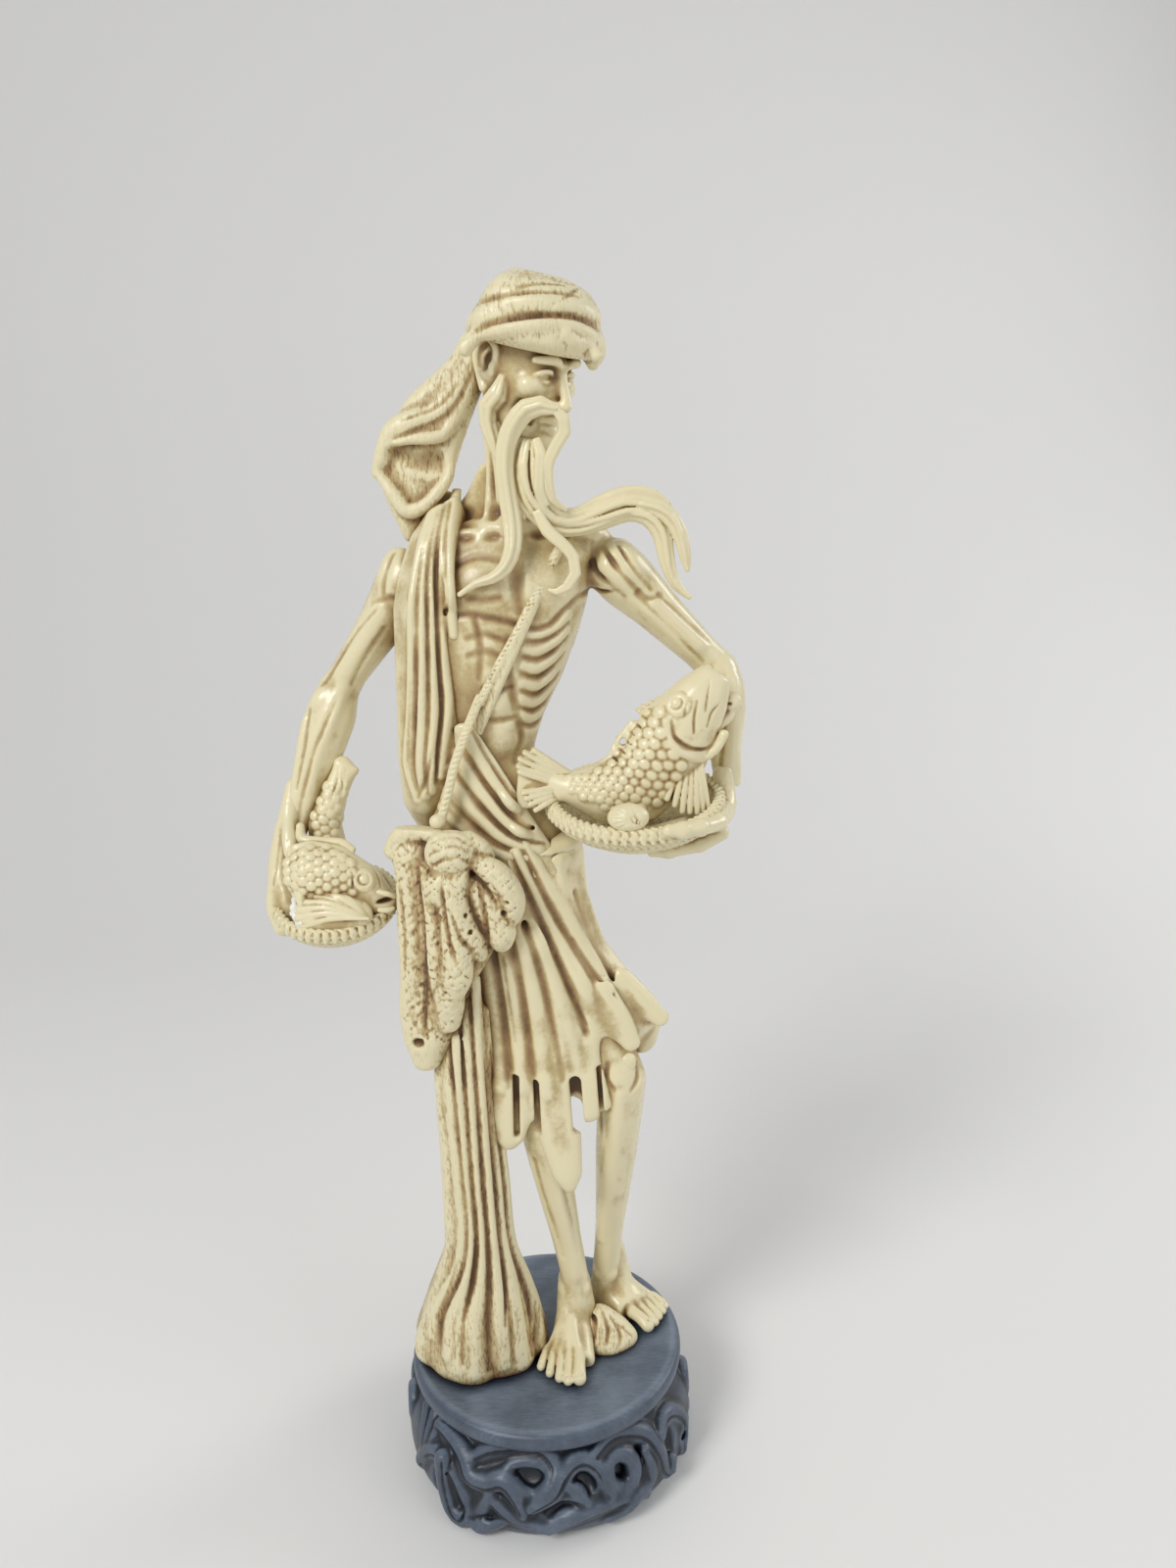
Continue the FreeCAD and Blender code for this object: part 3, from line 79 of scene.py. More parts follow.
# How much of a groove's stated depth the moulded resin keeps, and how it dies out at both ends
GROOVE_SHARE = 0.55
TAPER_PLACES = (0, 0.3, 0.7, 1)
TAPER_SHARES = (0.2, 1, 1, 0.2)

# The grid about the whole object on which shelter is worked out, and the reach of each blur in its cells
WHOLE_LOW = (-95, -56, -4)
WHOLE_HIGH = (80, 56, 412)
WHOLE_CELL = 1.0
NEAR_REACH = 2
WIDE_REACH = 6
# A recess is judged by the carving's own blur over this reach, and by how closed in the point is nearby
RECESS_REACH = 0.9
OWN_RECESS_WEIGHT = 1.3
NEAR_RECESS_WEIGHT = 1.1


# Clay: a grid of distances to a surface, negative inside, worked with strokes


def smooth_min(one, other, blend):
    if blend <= 0:
        return np.minimum(one, other)
    near = np.maximum(blend - np.abs(one - other), 0) / blend
    return np.minimum(one, other) - near * near * (blend * 0.25)


def length_of(rows):
    """The length of each row, never quite nothing."""
    return np.maximum(np.linalg.norm(rows, axis=1, keepdims=True), TINY)


def along(values, count):
    """Values spread evenly over a number of places."""
    return np.interp(np.linspace(0, 1, count), np.linspace(0, 1, len(values)), values)


def curve(places, spacing):
    """A smooth path through the places, whose columns may hold radii as well."""
    places = np.array(places, dtype=float)
    padded = np.vstack((2 * places[0] - places[1], places, 2 * places[-1] - places[-2]))
    steps = []
    for before, start, end, after in zip(padded, padded[1:], padded[2:], padded[3:]):
        count = max(1, int(np.linalg.norm((end - start)[:3]) / spacing))
        share = np.arange(count)[:, None] / count
        steps.append(0.5 * (
            2 * start + (end - before) * share
            + (2 * before - 5 * start + 4 * end - after) * share**2
            + (3 * start - before - 3 * end + after) * share**3
        ))
    return np.vstack(steps + [places[-1:]])


class Clay:
    def __init__(self, low, high, cell=BODY_CELL):
        self.cell = cell
        self.low = np.floor(np.array(low, dtype=float) / cell) * cell
        self.shape = np.ceil((np.array(high) - self.low) / cell).astype(int) + 1
        self.field = np.full(self.shape, FAR, dtype=np.float32)

    def take(self, node, grow=0.0):
        """Add the solid of a CAD node."""
        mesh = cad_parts[node].data
        mesh.calc_loop_triangles()
        places = np.empty(len(mesh.vertices) * 3, dtype=np.float32)
        mesh.vertices.foreach_get("co", places)
        corners = np.empty(len(mesh.loop_triangles) * 3, dtype=np.int32)
        mesh.loop_triangles.foreach_get("vertices", corners)
        places = ((places.reshape(-1, 3) / MM - self.low) / self.cell).astype(np.float32)
        triangles = corners.reshape(-1, 3).astype(np.uint32)
        reach = FAR / self.cell
        grid = openvdb.FloatGrid.createLevelSetFromPolygons(places, triangles=triangles, halfWidth=reach)
        solid = np.full(self.shape, reach, dtype=np.float32)
        grid.copyToArray(solid)
        np.minimum(self.field, solid * self.cell - grow, out=self.field)

    def window(self, low, high, margin=3.0):
        """The part of the grid about a box, and its coordinates."""
        first = np.floor((np.array(low) - margin - self.low) / self.cell)
        first = np.clip(first, 0, self.shape - 1).astype(int)
        last = np.ceil((np.array(high) + margin - self.low) / self.cell) + 1
        last = np.clip(last, first + 1, self.shape).astype(int)
        where = tuple(slice(a, b) for a, b in zip(first, last))
        axes = [self.low[i] + self.cell * np.arange(first[i], last[i]) for i in range(3)]
        axes = [values.astype(np.float32) for values in axes]
        return where, np.meshgrid(*axes, indexing="ij", sparse=True)

    def blend_in(self, where, distance, blend, cut):
        """Add a form given by its distances, or cut it away."""
        old = self.field[where]
        if cut:
            self.field[where] = np.minimum(-smooth_min(-old, distance, blend), FAR)
        else:
            self.field[where] = np.minimum(smooth_min(old, distance, blend), FAR)

    def blob(self, centre, radii, turn=None, blend=1.0, cut=False):
        """An egg; turn is a 3 by 3 matrix whose rows are its axes."""
        centre, radii = np.array(centre, dtype=float), np.broadcast_to(np.array(radii, dtype=float), 3)
        reach = radii.max() if turn is not None else radii
        where, (x, y, z) = self.window(centre - reach, centre + reach, 2 + blend)
        x, y, z = x - centre[0], y - centre[1], z - centre[2]
        if turn is not None:
            x, y, z = (axis[0] * x + axis[1] * y + axis[2] * z for axis in turn)
        near = np.sqrt((x / radii[0])**2 + (y / radii[1])**2 + (z / radii[2])**2)
        steep = np.sqrt((x / radii[0]**2)**2 + (y / radii[1]**2)**2 + (z / radii[2]**2)**2)
        self.blend_in(where, near * (near - 1) / np.maximum(steep, TINY), blend, cut)

    def stroke(self, places, radius=None, blend=1.0, cut=False, flat=1.0, smooth=True):
        """A tube along the places: rows of X, Y, Z and, with no radius given, a radius.

        flat below 1 thins it from front to back, and above 1 deepens it."""
        places = np.array(places, dtype=float)
        if radius is not None:
            radius = np.broadcast_to(np.array(radius, dtype=float), len(places))
            places = np.column_stack((places[:, :3], radius))
        if smooth and len(places) > 2:
            step = max(self.cell * STROKE_STEP_CELLS, places[:, 3].min() * STROKE_STEP_SHARE)
            places = curve(places, step)
        reach = places[:, 3].max()
        low, high = places[:, :3].min(0) - reach, places[:, :3].max(0) + reach
        where, _ = self.window(low, high, 1 + blend)
        first = np.array([s.start for s in where])
        tube = np.full([s.stop - s.start for s in where], FAR, dtype=np.float32)
        for start, end in zip(places, places[1:]):
            girth = max(start[3], end[3])
            low, high = np.minimum(start[:3], end[:3]) - girth, np.maximum(start[:3], end[:3]) + girth
            inner, axes = self.window(low, high, 1 + blend)
            run = end[:3] - start[:3]
            away = [value - start[i] for i, value in enumerate(axes)]
            share = sum(value * run[i] for i, value in enumerate(away)) / max(float(run @ run), TINY)
            share = np.clip(share, 0, 1)
            x, y, z = (value - share * run[i] for i, value in enumerate(away))
            square = x * x + y * y * (1 / flat**2) + z * z
            distance = np.sqrt(square) - (start[3] + share * (end[3] - start[3]))
            inner = tuple(slice(max(s.start - f, 0), s.stop - f) for s, f in zip(inner, first))
            size = [min(a.stop, b) - a.start for a, b in zip(inner, tube.shape)]
            part = tuple(slice(a.start, a.start + b) for a, b in zip(inner, size))
            tube[part] = np.minimum(tube[part], distance[:size[0], :size[1], :size[2]])
        self.blend_in(where, tube, blend, cut)

    def roll(self, rows, blend, cut=False):
        """A tube along rows of a reading, a depth and a radius."""
        self.stroke(spots(rows), blend=blend, cut=cut)

    def turned(self, profile, soften):
        """A form turned about the stand's axis through rows of height and radius."""
        heights, radii = np.array(profile, dtype=float).T
        bottom, top, reach = heights[0], heights[-1], radii.max() + 4
        where, (x, y, z) = self.window((-reach, -reach, bottom), (reach, reach, top))
        levels = np.clip(z, bottom, top)
        spread = [np.interp(np.clip(levels + shift * soften, bottom, top), heights, radii)
                  for shift in (-1, -0.5, 0, 0.5, 1)]
        distance = np.sqrt(x * x + y * y) - np.mean(spread, axis=0).astype(np.float32)
        ends = np.maximum(bottom - z, z - top)
        self.blend_in(where, -smooth_min(-distance, -ends, 2.0), 1.0, False)

    def trim(self, low, high, distance, blend=0.8):
        """Cut away where distance(x, y, z) is negative."""
        where, (x, y, z) = self.window(low, high, 0)
        self.blend_in(where, distance(x, y, z), blend, True)

    def sample(self, places, field=None):
        """The distances, or another field of the same shape, at any places."""
        field = self.field if field is None else field
        cells = (np.asarray(places) - self.low) / self.cell
        cells = np.clip(cells, 0, np.array(field.shape) - 1.001)
        base = cells.astype(int)
        share = cells - base
        total = 0
        for corner in np.ndindex(2, 2, 2):
            weight = np.prod(np.where(corner, share, 1 - share), axis=-1)
            index = base + corner
            total = total + weight * field[index[..., 0], index[..., 1], index[..., 2]]
        return total

    def lay(self, readings, view="front"):
        """Places on the surface, where the camera or a level view from another side sees each reading."""
        readings = np.array(readings, dtype=float)
        steps = np.linspace(0, 1, SIGHT_STEPS)[:, None, None]
        if view == "front":
            aims = np.column_stack((readings[:, 0], np.zeros(len(readings)), readings[:, 1]))
            line = EYE + (aims - EYE) * (SIGHT_START_SHARE + SIGHT_RUN_SHARE * steps)
        else:
            axis, way = SIDE_VIEWS[view]
            start, run = np.zeros((len(readings), 3)), np.zeros(3)
            start[:, 1 - axis], start[:, 2] = readings[:, 0], readings[:, 1]
            start[:, axis] = -way * SIDE_VIEW_REACH
            run[axis] = 2 * way * SIDE_VIEW_REACH
            line = start + run * steps
        inside = self.sample(line) < 0
        first, found, order = inside.argmax(0), inside.any(0), np.arange(len(readings))
        if found.any() and not found.all():
            first = np.interp(order, order[found], first[found]).astype(int)
        return line[first, order]

    def normals(self, places):
        slope = np.zeros_like(places)
        for axis in range(3):
            step = np.zeros(3)
            step[axis] = self.cell
            slope[:, axis] = self.sample(places + step) - self.sample(places - step)
        return slope / length_of(slope)

    def ridge(self, readings, radius, height, blend=1.0):
        """A raised line on the surface; its radius may vary along it."""
        radius = np.broadcast_to(np.array(radius, dtype=float), len(readings))
        places = self.lay(readings)
        places = places + self.normals(places) * (height - radius)[:, None]
        self.stroke(np.column_stack((places, radius)), blend=blend)

    def groove(self, readings, radius, depth, blend=0.5, view="front"):
        """A line cut into the surface, dying out at both ends."""
        taper = np.interp(np.linspace(0, 1, len(readings)), TAPER_PLACES, TAPER_SHARES)
        radius = np.array(radius, dtype=float) * (0.5 + 0.5 * taper)
        places = self.lay(readings, view)
        places = places + self.normals(places) * (radius - depth * GROOVE_SHARE * taper)[:, None]
        self.stroke(np.column_stack((places, radius)), blend=blend, cut=True)

    def swell(self, reading, radii, proud, blend=2.0, tilt=0.0, cut=False, view="front"):
        """An egg on the surface, its radii across, up and out; it stands proud, or goes in when cut."""
        place = self.lay([reading], view)
        out = self.normals(place)[0]
        if np.linalg.norm(out) < 0.5:
            return
        side = np.cross((0, 0, 1), -out)
        side = side / max(np.linalg.norm(side), TINY)
        rise = np.cross(-out, side)
        across, up = math.cos(math.radians(tilt)), math.sin(math.radians(tilt))
        turn = (side * across + rise * up, rise * across - side * up, out)
        centre = place[0] + out * (radii[2] - proud if cut else proud - radii[2])
        self.blob(centre, radii, turn, blend, cut)


def spot(across, height, depth=0.0):
    """The place at a depth that the camera sees at a reading."""
    share = (depth - EYE[1]) / -EYE[1]
    return (EYE[0] + (across - EYE[0]) * share, depth, EYE[2] + (height - EYE[2]) * share)


def spots(rows):
    """Rows of a stroke from rows of reading, depth and radius."""
    return [spot(across, height, depth) + tuple(rest) for across, height, depth, *rest in rows]


def blurred(field, reach, rounds=2):
    """Box blur along each axis."""
    width = 2 * reach + 1
    for _ in range(rounds):
        for axis in range(3):
            before, after = field.take([0] * (reach + 1), axis), field.take([-1] * reach, axis)
            total = np.cumsum(np.concatenate([before, field, after], axis), axis=axis, dtype=np.float64)
            upper = np.take(total, range(width, total.shape[axis]), axis)
            lower = np.take(total, range(0, total.shape[axis] - width), axis)
            field = ((upper - lower) / width).astype(np.float32)
    return field


def clay_of(nodes, cell=BODY_CELL, soften=1.2, grow=0.4, rise=0.0):
    """Clay in the form of the CAD nodes, its edges softened; rise adds room above them."""
    boxes = [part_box(node) for node in nodes]
    low = np.min([box[0] for box in boxes], axis=0) / MM - CLAY_ROOM
    high = np.max([box[1] for box in boxes], axis=0) / MM + CLAY_ROOM + (0, 0, rise)
    clay = Clay(low, high, cell)
    for node in nodes:
        clay.take(node, grow)
    clay.field = blurred(clay.field, max(1, round(soften / cell)))
    return clay


# Finished clay becomes pieces; their painted shade and stain follow how sheltered each point is


pieces = []


def mesh_of(clay):
    """The surface of the clay, closed at the edges of its grid."""
    for axis in range(3):
        for end in (0, -1):
            edge = [slice(None)] * 3
            edge[axis] = end
            clay.field[tuple(edge)] = FAR
    grid = openvdb.FloatGrid(FAR)
    grid.copyFromArray(clay.field)
    places, quads = grid.convertToQuads(0.0)
    return places * clay.cell + clay.low, quads[:, ::-1]


def piece_from(clay, name, nodes, material):
    """A piece in place of CAD nodes; with no nodes it is an addition."""
    places, quads = mesh_of(clay)
    mesh = bpy.data.meshes.new(name)
    mesh.vertices.add(len(places))
    mesh.vertices.foreach_set("co", (places * MM).astype(np.float32).ravel())
    mesh.loops.add(quads.size)
    mesh.loops.foreach_set("vertex_index", quads.ravel().astype(np.int32))
    mesh.polygons.add(len(quads))
    mesh.polygons.foreach_set("loop_start", np.arange(0, quads.size, 4, dtype=np.int32))
    mesh.update(calc_edges=True)
    mesh.validate()
    mesh.shade_smooth()
    mesh.materials.append(material)
    piece = bpy.data.objects.new(name, mesh)
    bpy.context.collection.objects.link(piece)
    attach(piece, "root")
    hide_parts(*nodes)
    pieces.append((piece, clay, places))


def shelter_for_stain_and_shade():
    """Give every point a recess, how deep it lies in its carving, and a shelter, how closed in it is; the
    materials paint shade from both, and the resin also a stain.
    """
    whole = Clay(WHOLE_LOW, WHOLE_HIGH, WHOLE_CELL)
    filled = np.zeros(whole.shape, dtype=np.float32)
    for _, clay, _ in pieces:
        first = np.maximum(np.ceil((clay.low - whole.low) / whole.cell), 0).astype(int)
        last = (clay.low + (clay.shape - 1) * clay.cell - whole.low) / whole.cell
        last = np.minimum(last, whole.shape - 1).astype(int)
        levels = [whole.low[i] + whole.cell * np.arange(first[i], last[i]) for i in range(3)]
        index = [np.rint((levels[i] - clay.low[i]) / clay.cell).astype(int) for i in range(3)]
        where = tuple(slice(a, b) for a, b in zip(first, last))
        filled[where] = np.maximum(filled[where], clay.field[np.ix_(*index)] < 0)
    close, far = blurred(filled, NEAR_REACH), blurred(filled, WIDE_REACH)
    for piece, clay, places in pieces:
        own = clay.sample(places, blurred(clay.field, max(1, round(RECESS_REACH / clay.cell)), 1))
        recess = (whole.sample(places, close) - 0.5) * NEAR_RECESS_WEIGHT - own * OWN_RECESS_WEIGHT
        shelter = whole.sample(places, far) - 0.5
        for name, values in (("recess", recess), ("shelter", shelter)):
            layer = piece.data.attributes.new(name, "FLOAT", "POINT")
            layer.data.foreach_set("value", values.astype(np.float32))


# Materials


# Tones of the resin from its worn heights to its stained recesses, which also carry painted shade
PALE = (0.80, 0.72, 0.47)
CREAM = (0.55, 0.44, 0.22)
TAN = (0.33, 0.20, 0.082)
BROWN = (0.13, 0.07, 0.028)
RESIN_TONES = ((0.0, PALE), (0.28, CREAM), (0.68, TAN), (1.0, BROWN))
# How much each cause adds to the stain and painted shade, and how much that dulls the gloss
RECESS_STAIN_AND_SHADE = 1.15
SHELTER_SHADE = 1.1
BLOTCH_STAIN = 0.9
GRIT_STAIN = 0.35
BASE_STAIN = 0.27
STAIN_AND_SHADE_DULLING = 0.35
# A noise runs from 0 to 1 about this middle
NOISE_MIDDLE = 0.5

SLATE_TONES = (
    (0.0, (0.010, 0.013, 0.020)), (0.35, (0.035, 0.046, 0.066)),
    (0.6, (0.085, 0.110, 0.150)), (1.0, (0.24, 0.29, 0.36)),
)
# Painted shade darkens the recesses and a painted highlight lightens the crests, as far as the floor allows
SLATE_CREST_HIGHLIGHT_FLOOR = -0.15
SLATE_SHADE_AND_HIGHLIGHT_WEIGHT = -1.7
# Painted highlight on faces turned up, as light from above would give
SLATE_LIT_TOP_POWER = 6.0
SLATE_LIT_TOP_WEIGHT = 0.26
SLATE_CLOUD_WEIGHT = 0.6
SLATE_GRAIN_WEIGHT = 0.35
SLATE_BASE = 0.31

GLUE_TONES = ((0.3, (0.80, 0.79, 0.72)), (0.7, (0.93, 0.93, 0.90)))
WOOD_TONES = ((0.3, (0.34, 0.22, 0.11)), (0.7, (0.52, 0.37, 0.20)))
PEGS = ("neck_dowel", "waist_dowel", "shoulder_dowels", "wrist_dowels", "hip_dowels")


class Paint:
    """A material's nodes, with short ways to add them."""

    def __init__(self, name):
        self.material = bpy.data.materials.new(name)
        self.material.use_nodes = True
        self.nodes, self.links = self.material.node_tree.nodes, self.material.node_tree.links
        self.shader = next(node for node in self.nodes if node.type == "BSDF_PRINCIPLED")
        self.place = self.add("ShaderNodeTexCoord").outputs["Object"]

    def add(self, kind, feed=None, **settings):
        """A node with inputs or properties set, and feed linked to its first input."""
        node = self.nodes.new(kind)
        for name, value in settings.items():
            if name in node.inputs:
                node.inputs[name].default_value = value
            else:
                setattr(node, name, value)
        if feed is not None:
            self.links.new(feed, node.inputs[0])
        return node

    def noise(self, scale, detail, roughness=0.5, feed=None):
        feed = self.place if feed is None else feed
        node = self.add("ShaderNodeTexNoise", feed, Scale=scale, Detail=detail, Roughness=roughness)
        return node.outputs["Fac"]

    def worked(self, name):
        """One of the sheltering values left on the points, which the materials turn into painted shade."""
        return self.add("ShaderNodeAttribute", attribute_name=name).outputs["Fac"]

    def maths(self, operation, *values, clamp=False):
        node = self.nodes.new("ShaderNodeMath")
        node.operation, node.use_clamp = operation, clamp
        for socket, value in zip(node.inputs, values):
            if isinstance(value, (int, float)):
                socket.default_value = value
            else:
                self.links.new(value, socket)
        return node.outputs[0]

    def weighted(self, parts, base):
        """Each part times its weight, summed on a base and kept between 0 and 1."""
        total = 0.0
        for part, weight in parts:
            total = self.maths("MULTIPLY_ADD", part, weight, total)
        return self.maths("ADD", total, base, clamp=True)

    def ramp(self, factor, stops):
        node = self.add("ShaderNodeValToRGB", factor)
        elements = node.color_ramp.elements
        while len(elements) < len(stops):
            elements.new(0.5)
        for element, (place, colour) in zip(elements, stops):
            element.position = place
            element.color = (*colour, 1)
        return node.outputs[0]

    def bump(self, height, strength, distance):
        node = self.add("ShaderNodeBump", Strength=strength, Distance=distance)
        self.links.new(height, node.inputs["Height"])
        return node.outputs[0]

    def shade(self, values):
        """Set the shader's inputs and give the finished material."""
        for name, value in values.items():
            if isinstance(value, bpy.types.NodeSocket):
                self.links.new(value, self.shader.inputs[name])
            else:
                self.shader.inputs[name].default_value = value
        return self.material


def ivory(name, wash_and_shade=1.0, gloss=0.34, scratches=0.0):
    """Cream resin, its recesses stained brown and darkened with painted shade, most where closed in;
    scratches adds short incised marks.
    """
    paint = Paint(name)
    cloud, speck = paint.noise(90.0, 4.0, 0.6), paint.noise(700.0, 3.0, 0.7)
    # Recess and shelter paint shade as well as the brown stain; blotch and grit are the resin's own tone
    causes = [
        (paint.worked("recess"), RECESS_STAIN_AND_SHADE * wash_and_shade), (paint.worked("shelter"), SHELTER_SHADE * wash_and_shade),
        (cloud, BLOTCH_STAIN), (speck, GRIT_STAIN),
    ]
    height = paint.maths("MULTIPLY", cloud, 0.3)
    if scratches:
        marks = scratch_marks(paint)
        causes.append((marks, scratches))
        height = paint.maths("SUBTRACT", height, marks)
    stain_and_shade = paint.weighted(causes, BASE_STAIN - NOISE_MIDDLE * (BLOTCH_STAIN + GRIT_STAIN))
    return paint.shade({
        "Base Color": paint.ramp(stain_and_shade, RESIN_TONES),
        "Roughness": paint.maths("MULTIPLY_ADD", stain_and_shade, STAIN_AND_SHADE_DULLING, gloss),
        "Normal": paint.bump(height, 0.35 if scratches else 0.12, 0.0006),
        "Subsurface Weight": 0.12,
        "Subsurface Radius": (0.004, 0.0025, 0.001),
        "Subsurface Scale": 0.5,
        "Coat Weight": 0.15,
        "Coat Roughness": 0.25,
    })


def scratch_marks(paint):
    """Short incised marks that lie two ways."""
    total = None
    for turn, squash in ((0.6, 5.0), (-0.7, 4.0)):
        stretch = (squash, 1.6, 1.0)
        way = paint.add("ShaderNodeMapping", paint.place, Rotation=(0.5, turn, 0.4), Scale=stretch)
        noise = paint.noise(325.0, 2.0, feed=way.outputs[0])
        mark = paint.maths("MULTIPLY", paint.maths("SUBTRACT", noise, 0.56), 9.0, clamp=True)
        total = mark if total is None else paint.maths("MAXIMUM", total, mark)
    return total


def slate():
    """Slate grey paint, with painted shade in the recesses, painted highlights on the crests and a painted
    highlight where it faces up.
    """
    paint = Paint("slate")
    stretch = paint.add("ShaderNodeMapping", paint.place, Rotation=(0, 0, 0.6), Scale=(1.0, 7.0, 1.0))
    cloud = paint.noise(60.0, 5.0, 0.6)
    grain = paint.noise(260.0, 5.0, 0.7, stretch.outputs[0])
    normal = paint.add("ShaderNodeNewGeometry").outputs["Normal"]
    facing = paint.add("ShaderNodeSeparateXYZ", normal).outputs["Z"]
    # A painted highlight where the surface faces up
    lit_top = paint.maths("POWER", paint.maths("MAXIMUM", facing, 0.0), SLATE_LIT_TOP_POWER)
    # Painted shade in the recesses, and a painted highlight on the crests
    recess = paint.maths("MAXIMUM", paint.worked("recess"), SLATE_CREST_HIGHLIGHT_FLOOR)
    tone = paint.weighted(
        ((recess, SLATE_SHADE_AND_HIGHLIGHT_WEIGHT), (lit_top, SLATE_LIT_TOP_WEIGHT), (cloud, SLATE_CLOUD_WEIGHT),
         (grain, SLATE_GRAIN_WEIGHT)),
        SLATE_BASE - NOISE_MIDDLE * (SLATE_CLOUD_WEIGHT + SLATE_GRAIN_WEIGHT))
    return paint.shade({
        "Base Color": paint.ramp(tone, SLATE_TONES),
        "Roughness": 0.36,
        "Normal": paint.bump(grain, 0.2, 0.0005),
    })


def mottled(name, tones, scale, detail, roughness):
    """A plain material whose tone only clouds a little."""
    paint = Paint(name)
    colour = paint.ramp(paint.noise(scale, detail), tones)
    return paint.shade({"Base Color": colour, "Roughness": roughness})


def finish_pegs():
    """The pegs inside the figure stay as the CAD has them, in wood."""
    wood = mottled("peg_wood", WOOD_TONES, 600.0, 3.0, 0.6)
    for node in PEGS:
        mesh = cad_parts[node].data
        if mesh.materials:
            mesh.materials[0] = wood
        else:
            mesh.materials.append(wood)


# wash sets how strongly recesses and closed-in places take stain and painted shade
SMOOTH_IVORY = ivory("smooth_ivory", gloss=0.26)
HAIR_IVORY = ivory("hair_ivory", wash_and_shade=1.3, gloss=0.3)
FISH_IVORY = ivory("fish_ivory", wash_and_shade=1.7)
ROUGH_IVORY = ivory("rough_ivory", wash_and_shade=1.2, gloss=0.45, scratches=0.3)
SLATE = slate()
GLUE = mottled("glue", GLUE_TONES, 400.0, 2.0, 0.5)


# The body: chest, arms and neck in one piece, so that skin runs on over the joints


